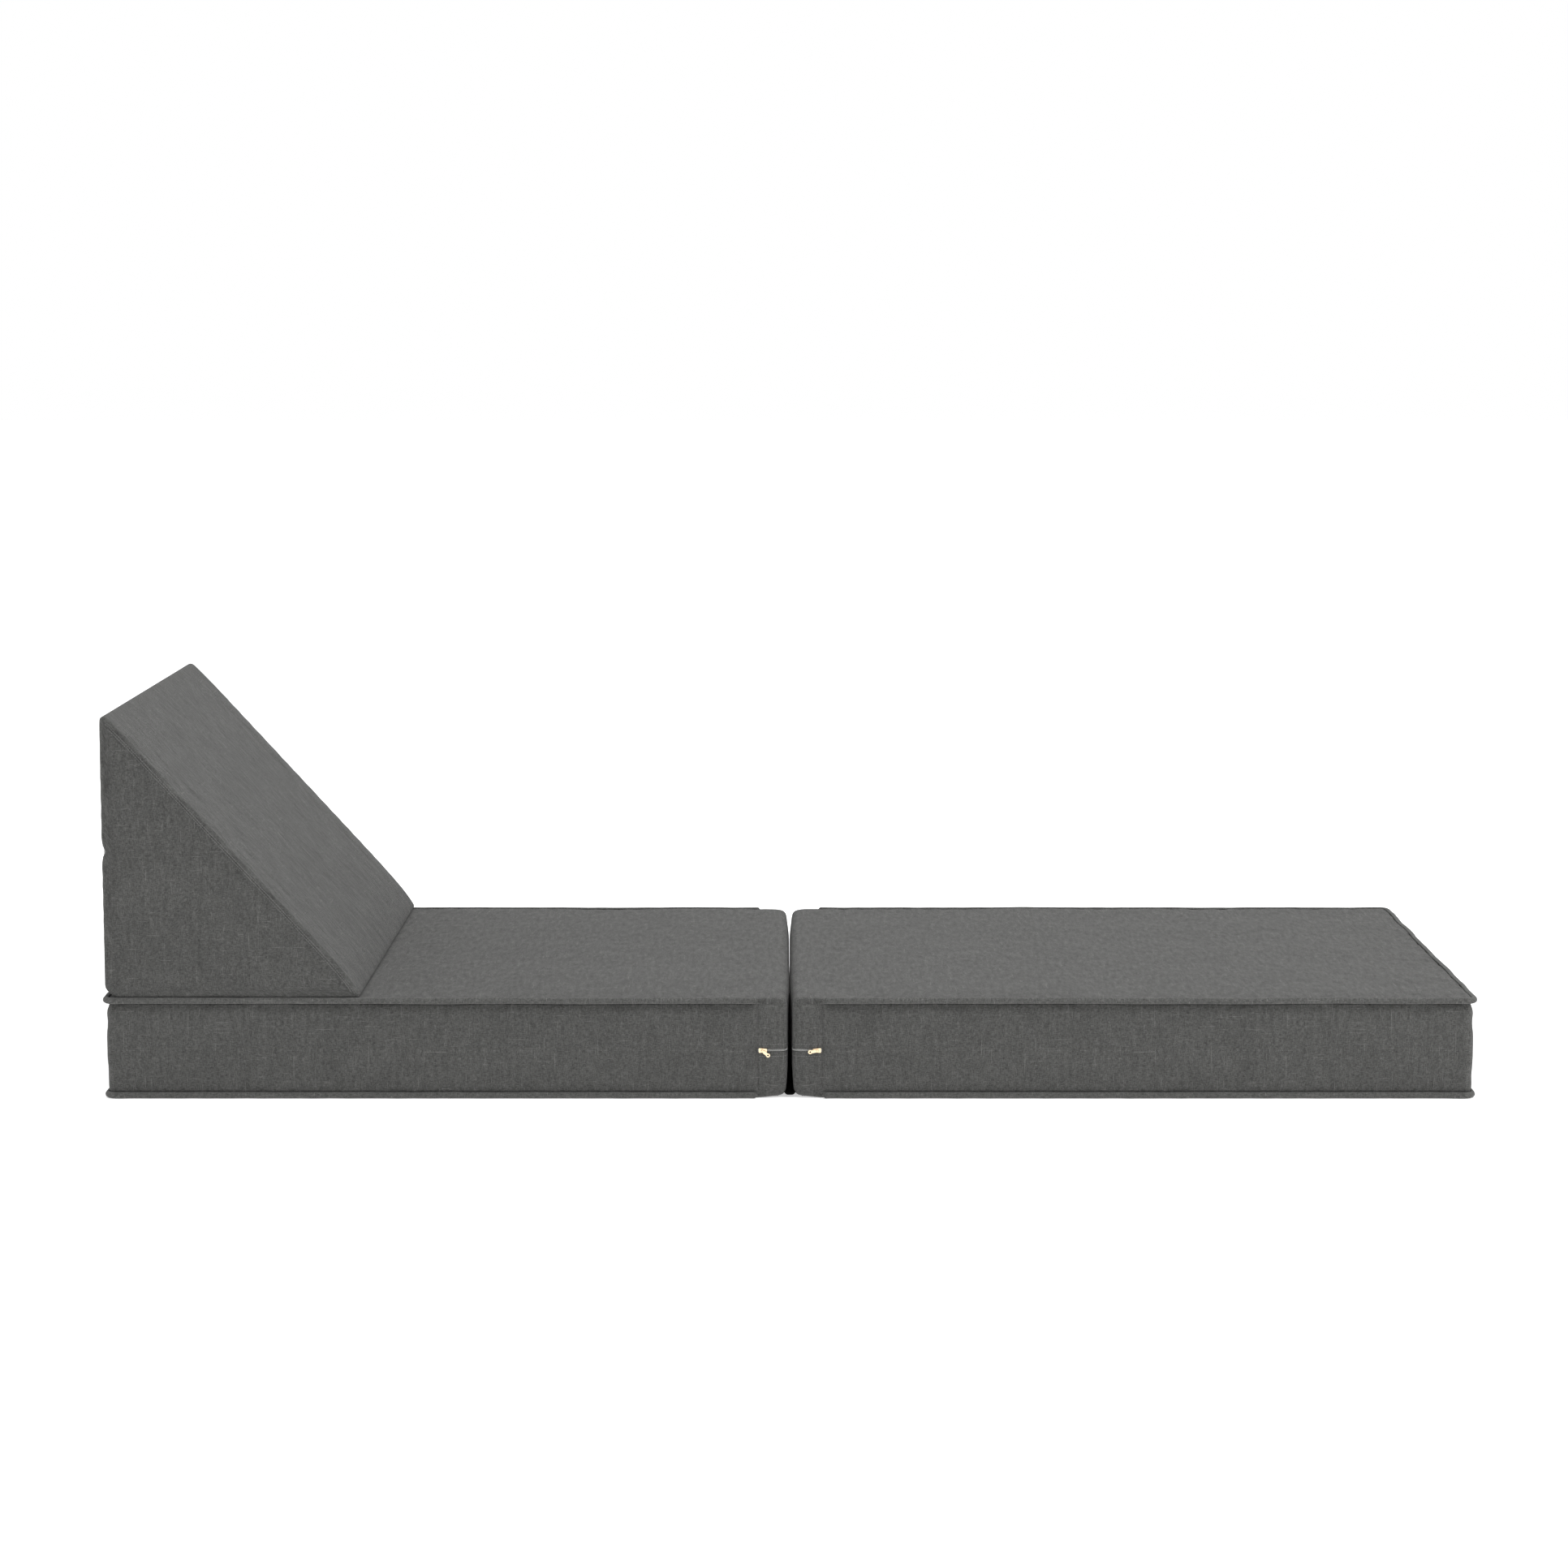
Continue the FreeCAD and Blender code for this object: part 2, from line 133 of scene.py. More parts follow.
def new_piece(name, points, faces, uv=None, mirror=False):
    """A smooth-shaded mesh object from arrays. Mirrored, it swaps the foot end for the head end."""
    points, faces = np.array(points, float), np.asarray(faces)
    if mirror:
        points[:, 0] *= -1
        faces = faces[:, ::-1]
    mesh = bpy.data.meshes.new(name)
    mesh.from_pydata(points.tolist(), [], faces.tolist())
    if uv is not None:
        layer = mesh.uv_layers.new(name="cloth")
        layer.data.foreach_set("uv", (uv[:, ::-1] if mirror else uv).reshape(-1))
    mesh.shade_smooth()
    piece = bpy.data.objects.new(name, mesh)
    bpy.context.scene.collection.objects.link(piece)
    return piece


def read(mesh, what, field, width, kind=float):
    """One field of a mesh's vertices, loops or faces as an array."""
    items = getattr(mesh, what)
    values = np.zeros(len(items) * width, kind)
    items.foreach_get(field, values)
    return values.reshape(-1, width) if width > 1 else values


def settled(points, faces, hold, pressure, spare, most):
    """The cloth after its foam has pushed it out: pressure from inside on cloth cut larger by spare, its seams held.
    A move of length d is eased to most·tanh(d / most)."""
    sheet = new_piece("settling", points, faces)
    group = sheet.vertex_groups.new(name="hold")
    for weight in np.unique(hold):
        group.add(np.flatnonzero(hold == weight).tolist(), float(weight), "REPLACE")
    cloth = sheet.modifiers.new("cloth", "CLOTH")
    cloth.settings.quality = 6
    cloth.settings.mass = 0.25
    cloth.settings.tension_stiffness = 25
    cloth.settings.compression_stiffness = 25
    cloth.settings.shear_stiffness = 8
    cloth.settings.bending_stiffness = 0.6
    cloth.settings.vertex_group_mass = "hold"
    cloth.settings.pin_stiffness = 1
    cloth.settings.use_pressure = True
    cloth.settings.uniform_pressure_force = pressure
    cloth.settings.shrink_min = -spare
    cloth.settings.effector_weights.gravity = 0
    cloth.collision_settings.use_collision = False
    cloth.point_cache.frame_start = 1
    cloth.point_cache.frame_end = 20
    for step in range(1, 17):
        bpy.context.scene.frame_set(step)
    done = sheet.evaluated_get(bpy.context.evaluated_depsgraph_get())
    move = read(done.data, "vertices", "co", 3) - points
    bpy.data.objects.remove(sheet)
    bpy.context.scene.frame_set(1)
    length = np.linalg.norm(move, axis=1, keepdims=True) + 1e-9
    return points + move * np.tanh(length / most) * most / length


def smoothed(points, faces, kinds, uv):
    """The closed form after one round of Catmull-Clark. Its first vertices are the coarse ones, in their order."""
    form = new_piece("form", points, faces, uv)
    form.data.polygons.foreach_set("material_index", kinds.astype(np.int32))
    for _ in range(int(kinds.max()) + 1):
        form.data.materials.append(None)
    finer = form.modifiers.new("finer", "SUBSURF")
    finer.levels = finer.render_levels = 1
    finer.uv_smooth = "NONE"
    mesh = form.evaluated_get(bpy.context.evaluated_depsgraph_get()).data
    fine = {
        "points": read(mesh, "vertices", "co", 3),
        "normals": read(mesh, "vertices", "normal", 3),
        "faces": read(mesh, "loops", "vertex_index", 1, np.int32).reshape(-1, 4),
        "kinds": read(mesh, "polygons", "material_index", 1, np.int32),
        "uv": read(mesh.uv_layers["cloth"], "data", "uv", 2).reshape(-1, 4, 2),
    }
    bpy.data.objects.remove(form)
    return fine


def thicken(piece, wall, offset=-1):
    """Gives a sheet its wall, inwards, or to both sides if offset is 0."""
    thick = piece.modifiers.new("wall", "SOLIDIFY")
    thick.thickness = wall
    thick.offset = offset


def sewn_part(name, fine, kind, mirror):
    """One pattern piece of a smoothed form, with its cloth's thickness on the inside."""
    chosen = fine["kinds"] == kind
    used, faces = np.unique(fine["faces"][chosen], return_inverse=True)
    part = new_piece(name, fine["points"][used], faces.reshape(-1, 4), fine["uv"][chosen], mirror)
    thicken(part, cloth_wall)
    return part


def fitted(piece, material, body, slot, *nodes):
    """Gives a piece its material and body, and hides the CAD nodes that it stands for. The slot is not used."""
    piece.data.materials.append(material)
    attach(piece, body)
    if nodes:
        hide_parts(*nodes)


def shader(tree, kind, sockets, **settings):
    """Adds a shader node. sockets gives each input a value or another node's output."""
    node = tree.nodes.new("ShaderNode" + kind)
    for setting, value in settings.items():
        setattr(node, setting, value)
    for socket, value in sockets.items():
        if isinstance(value, bpy.types.NodeSocket):
            tree.links.new(value, node.inputs[socket])
        else:
            node.inputs[socket].default_value = value
    return node


def sum_of(tree, kind, first, second, third=0.0):
    """One arithmetic step between sockets or numbers."""
    sockets = {0: first, 1: second}
    if kind == "MULTIPLY_ADD":
        sockets[2] = third
    return shader(tree, "Math", sockets, operation=kind).outputs[0]


def noise(tree, place, scale, detail, roughness=.5):
    """Fractal noise from 0 to 1."""
    sockets = {"Vector": place, "Scale": scale, "Detail": detail, "Roughness": roughness}
    return shader(tree, "TexNoise", sockets).outputs[0]


def carried(tree, value, low, high, start, end, **settings):
    """The value's range from low to high, carried to start and end and clipped there."""
    return shader(tree, "MapRange", {0: value, 1: low, 2: high, 3: start, 4: end}, **settings).outputs[0]


def two_tone(tree, share, dark, light):
    """A mix of two colours."""
    return shader(tree, "Mix", {0: share, 6: (*dark, 1), 7: (*light, 1)}, data_type="RGBA").outputs[2]


def finish_material(name, look, depth, **surface):
    """A Principled surface. Its look is a plain colour, or a function that adds nodes and gives a colour and the
    height of a bump, depth metres deep. Plain values go straight to the shader's own sockets."""
    material = bpy.data.materials.new(name)
    material.use_nodes = True
    tree = material.node_tree
    body = tree.nodes["Principled BSDF"]
    if callable(look):
        colour, height = look(tree)
        bump = shader(tree, "Bump", {"Strength": 1.0, "Distance": depth, "Height": height})
        tree.links.new(colour, body.inputs["Base Color"])
        tree.links.new(bump.outputs[0], body.inputs["Normal"])
    else:
        body.inputs["Base Color"].default_value = (*look, 1)
    for socket, value in surface.items():
        body.inputs[socket.replace("_", " ")].default_value = value
    return material


def linen(name, colour, pitch, depth, sheen, cloudy):
    """Slubbed plain weave on the cloth's own map in metres. Across a thread its height is a squared sine, and the
    product of the two sines says which thread lies on top. Slow noise along each thread swells and lightens it."""
    def weave(tree):
        place = shader(tree, "UVMap", {}, uv_map="cloth").outputs[0]
        drift = shader(tree, "TexNoise", {"Vector": place, "Scale": 22.0, "Detail": 2.0}).outputs["Color"]
        drift = shader(tree, "VectorMath", {0: drift, 1: (.0012, .0012, 0)}, operation="MULTIPLY").outputs[0]
        place = shader(tree, "VectorMath", {0: place, 1: drift}, operation="ADD").outputs[0]
        threads = shader(tree, "VectorMath", {0: place, 1: (1 / pitch, 1 / pitch, 0)}, operation="MULTIPLY").outputs[0]
        parts = shader(tree, "SeparateXYZ", {0: threads})
        ways = (parts.outputs[0], parts.outputs[1])
        sines, rises, slubs, tones = [], [], [], []
        for own, other, number in ((ways[0], ways[1], 3.7), (ways[1], ways[0], 5.3)):
            sine = sum_of(tree, "SINE", sum_of(tree, "MULTIPLY", own, np.pi), 0.0)
            sines.append(sine)
            rises.append(sum_of(tree, "MULTIPLY", sine, sine))
            thread = sum_of(tree, "FLOOR", own, 0.0)
            lane = sum_of(tree, "MULTIPLY", thread, number)
            along = shader(tree, "CombineXYZ", {0: lane, 1: sum_of(tree, "MULTIPLY", other, .022), 2: number})
            slow = noise(tree, along.outputs[0], 1.0, 2.0, .55)
            slubs.append(carried(tree, slow, .64, .74, 0.0, 1.0, interpolation_type="SMOOTHSTEP"))
            short = shader(tree, "CombineXYZ", {0: lane, 1: sum_of(tree, "MULTIPLY", other, .21), 2: 7.1})
            quick = carried(tree, noise(tree, short.outputs[0], 1.0, 1.0), .3, .7, .47, 1.37)
            tones.append(sum_of(tree, "MULTIPLY_ADD", slow, .16, quick))
        over = sum_of(tree, "MULTIPLY_ADD", sum_of(tree, "MULTIPLY", sines[0], sines[1]), 0.5, 0.5)
        height = shader(tree, "Mix", {0: over, 2: rises[1], 3: rises[0]}).outputs[0]
        tone = shader(tree, "Mix", {0: over, 2: tones[1], 3: tones[0]}).outputs[0]
        slub = sum_of(tree, "MAXIMUM", slubs[0], slubs[1])
        height = sum_of(tree, "MULTIPLY", height, sum_of(tree, "MULTIPLY_ADD", slub, .7, tone))
        soft = carried(tree, noise(tree, place, 12.0, 4.0, .6), .3, .7, .94, 1.06)
        grain = shader(tree, "Mapping", {"Vector": place, "Rotation": (0, 0, .22), "Scale": (150, 30, 1)}).outputs[0]
        grain = carried(tree, noise(tree, grain, 1.0, 3.0, .6), .3, .7, 1 - cloudy, 1 + cloudy)
        light = sum_of(tree, "MULTIPLY_ADD", slub, .42, tone)
        light = sum_of(tree, "MULTIPLY", light, sum_of(tree, "MULTIPLY", soft, grain))
        # Darker where the weave's height is low, in the crevices between and under threads: painted shade.
        light = sum_of(tree, "MULTIPLY", light, sum_of(tree, "MULTIPLY_ADD", height, .3, .8))
        shade = shader(tree, "Mix", {0: 1.0, 6: (*colour, 1), 7: light}, data_type="RGBA", blend_type="MULTIPLY")
        return shade.outputs[2], height
    surface = {"Roughness": .92, "Specular_IOR_Level": .25, "Sheen_Weight": sheen, "Sheen_Roughness": .45}
    return finish_material(name, weave, depth, **surface)


thread_spacing, weave_depth = 0.00105, 0.0003
cover_cloth = linen("charcoal slubbed linen", (.0720, .0720, .0690), thread_spacing, weave_depth, .10, .14)
# Painted shade: a lit and shaded copy of the cover cloth, a little darker and with cloudier grain, for the panel tops
# and the wedge's slope and lower back.
shaded_copy_cloth = linen("charcoal slubbed linen, shaded copy", (.0705, .0705, .0675), thread_spacing, weave_depth, .10, .30)
# Painted highlight: the welt rolls are the same cover cloth, painted lighter so that they stand out like lit rolls.
welt_cloth_painted_highlight = linen("charcoal linen on the roll, painted highlight", (.083, .083, .0795), thread_spacing, weave_depth, .12, .10)

x_places = stations(panel_length, hinge_places, outer_places, grid_step)
y_places = stations(2 * half_width, outer_places, outer_places, grid_step) - half_width
nx, ny = len(x_places) - 1, len(y_places) - 1
columns = 2 * (nx + ny)
seam_column = hinge_places.index(side_seam)
far_seam = 2 * nx + ny - seam_column
hinge_corner, far_hinge_corner, outer_corner = 0.012, 0.022, 0.010
top_dip = 0.0035
welted_edge = 0.0045
outer_push = {"head": 0.0013, "foot": 0.0024}
outer_ripple = {"head": 0.0006, "foot": 0.0019}
crown_height, foam_push = 0.002, 3.0
PANEL_KINDS = ("cover_bottom", "cover_band", "gusset_lower", "gusset_upper", "cover_top")


def panel_cover(end):
    """The closed form of one panel's cover, in the foot panel's place. Round the plan's outline, each row is inset by
    r−√(r²−(r−z)²) within r of the floor or the top, and bulges, dips at its seams and ripples along its outline."""
    draw = np.random.default_rng(41 if end == "head" else 29)
    x = np.concatenate([x_places[:-1], np.full(ny, panel_length), x_places[:0:-1], np.zeros(ny)])
    y = np.concatenate([np.full(nx, -half_width), y_places[:-1], np.full(nx, half_width), y_places[:0:-1]])
    side_gap = half_width - np.abs(y)
    across, along = rounded(x, side_gap, np.where(y < 0, hinge_corner, far_hinge_corner))
    outer_gap, along = rounded(panel_length - across, along, outer_corner)
    plan = np.stack([hinge_face + panel_length - outer_gap, np.sign(y) * (half_width - along)], axis=1)
    step = np.roll(plan, -1, 0) - np.roll(plan, 1, 0)
    step /= np.linalg.norm(step, axis=1, keepdims=True)
    outwards = np.stack([step[:, 1], -step[:, 0]], axis=1)
    lengths = np.concatenate([[0], np.cumsum(np.linalg.norm(np.roll(plan, -1, 0) - plan, axis=1))])
    part = lengths[:-1] / lengths[-1]

    on_end = 1 - ease(x, 0, .008)
    floor_radius = .006 + .0068 * (1 - ease(x, .010, side_seam)) + .0072 * on_end * ease(side_gap, .03, .09)
    top_radius = welted_edge + .0025 * (1 - ease(x, .010, side_seam)) + .0010 * on_end
    z = levels[:, None] + np.zeros(columns)
    radius = np.where(z < panel_height / 2, floor_radius, top_radius)
    from_face = np.minimum(z, panel_height - z)
    inset = np.where(from_face < radius, radius - np.sqrt(np.maximum(radius ** 2 - (radius - from_face) ** 2, 0)), 0)

    gusset = 1 - ease(x, side_seam - .004, side_seam + .004)
    at_outer = ease(x, panel_length - .03, panel_length)
    swell = np.sin(np.pi * np.clip((z - .009) / (.135 - .009), 0, 1))
    out = swell * .0012 * ease(x, .05, .15) + outer_push[end] * at_outer
    facing = ease(z, .012, .040) * (1 - ease(z, .130, .1430)) * (x < .002)
    out += facing * (.0014 + .0033 * ease(side_gap, -.02, .19))
    away = ease(side_gap, .005, .09) * at_outer
    slack = (.0005 + outer_ripple[end] * away) * ripple(part, (9, 13, 16, 20), draw)
    out += slack * ease(z, .04, panel_height) * ease(x, .03, .12)
    out += .0005 * ripple(part, (7, 12, 19, 31), draw) * swell * ease(x, .05, .15)
    out[BOTTOM_SEAM] -= .0013 * (1 - .65 * gusset)
    for row, dip in ((TOP_SEAM, top_dip), (TOP_SEAM - 1, .0020)):
        out[row] -= dip * (1 - .85 * gusset)
    for column in (seam_column, far_seam):
        out[BOTTOM_SEAM + 1:TOP_SEAM, column] -= .0009
    for row in (LOWER_LIP, UPPER_LIP):
        out[row] += .0002 * gusset
    for row in (LOWER_STITCH, UPPER_STITCH):
        out[row] -= .0003 * gusset
    free = 1 - ease(x, toe_reach - .06, toe_reach - .01) if end == "head" else np.ones(columns)
    z = z + .0008 * ripple(part, (5, 9, 13, 18), draw) * ease(z, .120, .138) * free
    z = z + .0018 * (1 - ease(x, 0, .05)) * (1 - ease(z, 0, .009))
    rows = np.concatenate([plan[None] + (out - inset)[..., None] * outwards[None], z[..., None]], axis=2)

    u = x_places / panel_length
    v = (y_places + half_width) / (2 * half_width)
    bottom = patch(*ring_edges(rows[0], nx, ny), u, v)
    top = patch(*ring_edges(rows[-1], nx, ny), u, v)
    crown = (1 - (2 * u[:, None] - 1) ** 6) * (1 - (2 * v[None] - 1) ** 6)
    dents = ripple(u[:, None] + .3 * v[None], (2, 3, 5), draw) + ripple(v[None] - .2 * u[:, None], (1, 2, 4), draw)
    if end == "head":
        crown = crown * (1 - ease(x_places, toe_reach - .08, toe_reach - .01))[:, None]
    top[..., 2] += crown * (crown_height + .0005 * dents)

    inner = (nx - 1) * (ny - 1)
    ring_index = np.arange(len(levels) * columns).reshape(len(levels), columns)
    index = []
    for row, start in ((ring_index[0], 0), (ring_index[-1], inner)):
        sheet = np.zeros((nx + 1, ny + 1), int)
        near, outer, far, hinge = ring_edges(row, nx, ny)
        sheet[:, 0], sheet[:, -1], sheet[0], sheet[-1] = near, far, hinge, outer
        sheet[1:-1, 1:-1] = ring_index.size + start + np.arange(inner).reshape(nx - 1, ny - 1)
        index.append(sheet)
    points = np.concatenate([rows.reshape(-1, 3), bottom[1:-1, 1:-1].reshape(-1, 3), top[1:-1, 1:-1].reshape(-1, 3)])

    closed = np.hstack([ring_index, ring_index[:, :1]])
    wall_faces = quads(closed)
    faces = np.concatenate([wall_faces, quads(index[0]), quads(index[1].T)])
    number = np.arange(columns)
    in_gusset = (number < seam_column) | (number >= far_seam)
    level = np.arange(len(levels) - 1)[:, None]
    kinds = np.where(in_gusset, np.select([level < LOWER_LIP, level == LOWER_LIP], [2, 5], 3), 1)
    kinds = np.where(level < BOTTOM_SEAM, 0, np.where(level >= TOP_SEAM, 4, kinds)).reshape(-1)
    kinds = np.concatenate([kinds, np.full(nx * ny, 0), np.full(nx * ny, 4)])

    steps = np.linalg.norm(np.diff(np.stack([inset, z], axis=2), axis=0), axis=2)
    climb = np.concatenate([np.zeros((1, columns)), np.cumsum(steps, axis=0)])
    turn = np.hstack([climb, climb[:, :1]])
    wall_map = np.stack([lengths + 0 * turn, turn], axis=2)
    outline = rows[..., :2]
    from_bottom = outline[0] + outwards * climb[..., None]
    from_top = outline[-1] + outwards * (climb[-1] - climb)[..., None]
    from_bottom = np.concatenate([from_bottom, from_bottom[:, :1]], axis=1)
    from_top = np.concatenate([from_top, from_top[:, :1]], axis=1)
    wall_kinds = kinds[:len(wall_faces), None, None]
    uv = np.where(wall_kinds == 0, quads(from_bottom), np.where(wall_kinds == 4, quads(from_top), quads(wall_map)))
    uv = np.concatenate([uv, quads(bottom[..., :2]), quads(top[..., :2].transpose(1, 0, 2))])

    hold = np.full(len(points), .25)
    hold[ring_index[:BOTTOM_SEAM + 1].reshape(-1)] = 1
    hold[ring_index[TOP_SEAM]] = 1
    hold[ring_index[TOP_SEAM + 1:].reshape(-1)] = .5
    hold[ring_index[:, [seam_column, far_seam]].reshape(-1)] = 1
    hold[ring_index[:, in_gusset].reshape(-1)] = 1
    hold[index[0].reshape(-1)] = 1
    top_hold = np.full((nx + 1, ny + 1), .5)
    top_hold[:, half_width - np.abs(y_places) < .02] = .8
    top_hold[(x_places < .05) | (x_places > (toe_reach - .03 if end == "head" else panel_length))] = 1
    hold[index[1][1:-1, 1:-1].reshape(-1)] = top_hold[1:-1, 1:-1].reshape(-1)
    full = settled(points, faces, hold, foam_push, .012, .003)
    return {"fine": smoothed(full, faces, kinds, uv), "ring": ring_index, "coarse": full, "faces": faces}


covers = {}
for end, body in (("head", "head_panel"), ("foot", "foot_panel")):
    covers[end] = panel_cover(end)
    for kind, part_name in enumerate(PANEL_KINDS):
        part = sewn_part(end + "_" + part_name + "_sewn", covers[end]["fine"], kind, end == "head")
        # The tops take the shaded copy of the cloth: painted shade.
        material = shaded_copy_cloth if part_name == "cover_top" else cover_cloth
        fitted(part, material, body, "cover_fabric", end + "_" + part_name)


# Foam cores and their liners. A slab of seat foam is cut a little over size, so that it keeps the cover tight, and a
# thin white non-woven sock lets the cover slide on over it. A shallow pocket clears the back of the zip slider.

foam_depth, liner_depth, liner_wall, pocket_depth = 0.0038, 0.0028, 0.0007, 0.0016


def open_cells(tree):
    """Cells of two sizes, darker in their pores: painted shade."""
    place = shader(tree, "TexCoord", {}).outputs["Object"]
    cells = shader(tree, "TexVoronoi", {"Vector": place, "Scale": 900.0}).outputs["Distance"]
    tone = sum_of(tree, "MULTIPLY_ADD", cells, .8, noise(tree, place, 14.0, 3.0))
    return two_tone(tree, carried(tree, tone, .3, 1.2, 0.0, 1.0), (.55, .47, .30), (.80, .74, .55)), cells


def felted(tree):
    """Short matted fibres: stretched noise in two directions, the higher one showing."""
    place = shader(tree, "TexCoord", {}).outputs["Object"]
    webs = []
    for turn in (.6, 2.1):
        lay = shader(tree, "Mapping", {"Vector": place, "Rotation": (turn, .4, turn), "Scale": (900, 70, 900)})
        webs.append(noise(tree, lay.outputs[0], 1.0, 2.0))
    web = sum_of(tree, "MAXIMUM", *webs)
    return two_tone(tree, web, (.45, .45, .43), (.80, .80, .77)), web


foam_block = finish_material("cream seat foam", open_cells, .0004, Roughness=.95, Specular_IOR_Level=.15)
felt_surface = {"Roughness": .9, "Specular_IOR_Level": .2, "Sheen_Weight": .1}
liner_cloth = finish_material("white non-woven liner", felted, .00015, **felt_surface)
FILLINGS = (
    ("foam_core", foam_depth, 0, foam_block, "foam"),
    ("inner_liner", liner_depth, liner_wall, liner_cloth, "liner"),
)


def inside_form(name, shell, depth, wall, mirror, pocket):
    """The form drawn in along its normals by depth, and deeper by the pocket's weight at each vertex. A normal that
    points towards the middle, as in a pinched corner, is turned round."""
    fine = shell["fine"]
    count = len(shell["coarse"])
    points, normals = fine["points"][:count], fine["normals"][:count]
    middle = points.mean(0)
    side = np.sign(((points - middle) * normals).sum(1))
    draw_in = (side * (depth + pocket_depth * pocket))[:, None] * normals
    part = new_piece(name, points - draw_in, shell["faces"], None, mirror)
    if wall:
        thicken(part, wall)
    return part


for end, body in (("head", "head_panel"), ("foot", "foot_panel")):
    shell = covers[end]
    place = shell["coarse"]
    beside_zip = 1 - ease(np.abs(place[:, 2] - zip_level), .006, .010)
    pocket = beside_zip * (1 - ease(place[:, 0], .047, .052)) * (place[:, 1] < -.38)
    for part_name, depth, wall, material, slot in FILLINGS:
        part = inside_form(end + "_" + part_name + "_filled", shell, depth, wall, end == "head", pocket)
        fitted(part, material, body, slot, end + "_" + part_name)


# Welts. A strip of the cover cloth is folded over a soft cord and caught in the seam between band and top or bottom,
# so a roll stands out along each edge. It starts and stops at the vertical seams, its ends tucked in and rounded.

welt_radius = 0.0045
welt_sides = 24


def smooth_path(points, spacing):
    """Even places on the curve through the points whose slope at each is half the step between its neighbours."""
    ends = np.concatenate([2 * points[:1] - points[1:2], points, 2 * points[-1:] - points[-2:-1]])
    a, b, c, d = (ends[i:len(ends) - 3 + i, None] for i in range(4))
    t = np.linspace(0, 1, 8, endpoint=False)[None, :, None]
    cubic = b + .5 * t * (c - a) + t ** 2 * (a - 2.5 * b + 2 * c - .5 * d) + .5 * t ** 3 * (3 * (b - c) + d - a)
    curve = np.concatenate([cubic.reshape(-1, points.shape[1]), points[-1:]])
    run = np.concatenate([[0], np.cumsum(np.linalg.norm(np.diff(curve, axis=0), axis=1))])
    places = np.linspace(0, run[-1], max(2, round(run[-1] / spacing)) + 1)
    return np.stack([np.interp(places, run, axis) for axis in curve.T], axis=1), places


def level_sides(path):
    """Each place's way along the path and its level way outwards, to the right of the way along."""
    along = np.gradient(path, axis=0)
    along /= np.linalg.norm(along, axis=1, keepdims=True)
    outwards = np.cross(along, (0, 0, 1))
    return along, outwards / np.linalg.norm(outwards, axis=1, keepdims=True)


def welt_roll(name, seam, lift, dip, draw, mirror):
    """A roll carried along the seam, which lies dip inside the wall: a circle whose inner side lies on the cover.
    Its size follows a quarter circle at both ends, and a slow ripple between them."""
    path, run = smooth_path(seam, .004)
    along, outwards = level_sides(path)
    turn = np.linspace(0, 2 * np.pi, welt_sides + 1)
    tip = np.minimum(run, run[-1] - run)
    size = np.sqrt(np.clip(1 - (1 - np.clip(tip / welt_radius, 0, 1)) ** 2, .0004, 1))
    size = size * (1 + .03 * ripple(run / run[-1], (23, 41, 67), draw))
    out = dip + .001 + welt_radius * size[:, None] * np.cos(turn)
    up = lift + welt_radius * size[:, None] * np.sin(turn)
    inner = np.cos(turn) < 0
    from_middle = np.abs(up + seam[0, 2] - panel_height / 2)
    edge_gap = np.clip(from_middle - (panel_height / 2 - welted_edge), 0, welted_edge - .0001)
    on_cover = welted_edge - np.sqrt(welted_edge ** 2 - edge_gap ** 2)
    out = np.where(inner, np.maximum(out, dip - on_cover - .0002), out)
    skin = path[:, None] + out[..., None] * outwards[:, None] + up[..., None] * np.array([0, 0, 1.0])
    skin[:, -1] = skin[:, 0]
    count = len(path)
    number = np.arange(count * welt_sides).reshape(count, welt_sides)
    number = np.hstack([number, number[:, :1]])
    around = turn * welt_radius
    chart = np.stack(np.broadcast_arrays(run[:, None], around[None]), axis=2)
    points = skin[:, :-1].reshape(-1, 3)
    faces = quads(number.T)
    uv = quads(chart.transpose(1, 0, 2))
    caps = np.stack([points[:welt_sides].mean(0), points[-welt_sides:].mean(0)])
    first, last = np.arange(welt_sides), len(points) - welt_sides + np.arange(welt_sides)
    half = welt_sides // 2
    k = np.arange(half - 1)
    start_cap = np.stack([first[k], first[k + 1], first[welt_sides - 2 - k], first[welt_sides - 1 - k]], axis=1)
    end_cap = np.stack([last[k], last[welt_sides - 1 - k], last[welt_sides - 2 - k], last[k + 1]], axis=1)
    faces = np.concatenate([faces, start_cap, end_cap])
    uv = np.concatenate([uv, np.zeros((2 * len(k), 4, 2))])
    return new_piece(name, points, faces, uv, mirror)


for end, body in (("head", "head_panel"), ("foot", "foot_panel")):
    draw = np.random.default_rng(7)
    fine, ring = covers[end]["fine"], covers[end]["ring"]
    for edge, row, lift, dip in (("top", TOP_SEAM, .0052, top_dip), ("bottom", BOTTOM_SEAM, -.0041, .0013)):
        seam = fine["points"][ring[row, seam_column:far_seam + 1]]
        seam[:, 2] = levels[row] + (seam[:, 2] - levels[row]) * .5
        roll = welt_roll(end + "_welt_" + edge + "_roll", seam, lift, dip, draw, end == "head")
        # The rolls' cloth is painted lighter than the cover cloth: painted highlight.
        fitted(roll, welt_cloth_painted_highlight, body, "welt_fabric", end + "_welt_" + edge)


# Zips of the panels. Woven tapes are sewn behind the gusset's two lips, a coil of nylon shows between them, and a
# row of topstitching runs along each side. Sliders and pulls, the wedge's too, are cast and plated a pale gold.

thread_length, thread_pitch, thread_width = 0.0029, 0.0036, 0.0007
tooth_pitch, tooth_length, tooth_width = 0.0013, 0.0027, 0.0011
tooth_swing, coil_sink = 0.0003, 0.0004
tape_sink, tape_wall = 0.0013, 0.0006
stitch = (thread_length, thread_width, thread_width)
tooth = (tooth_length, tooth_width, tooth_width)


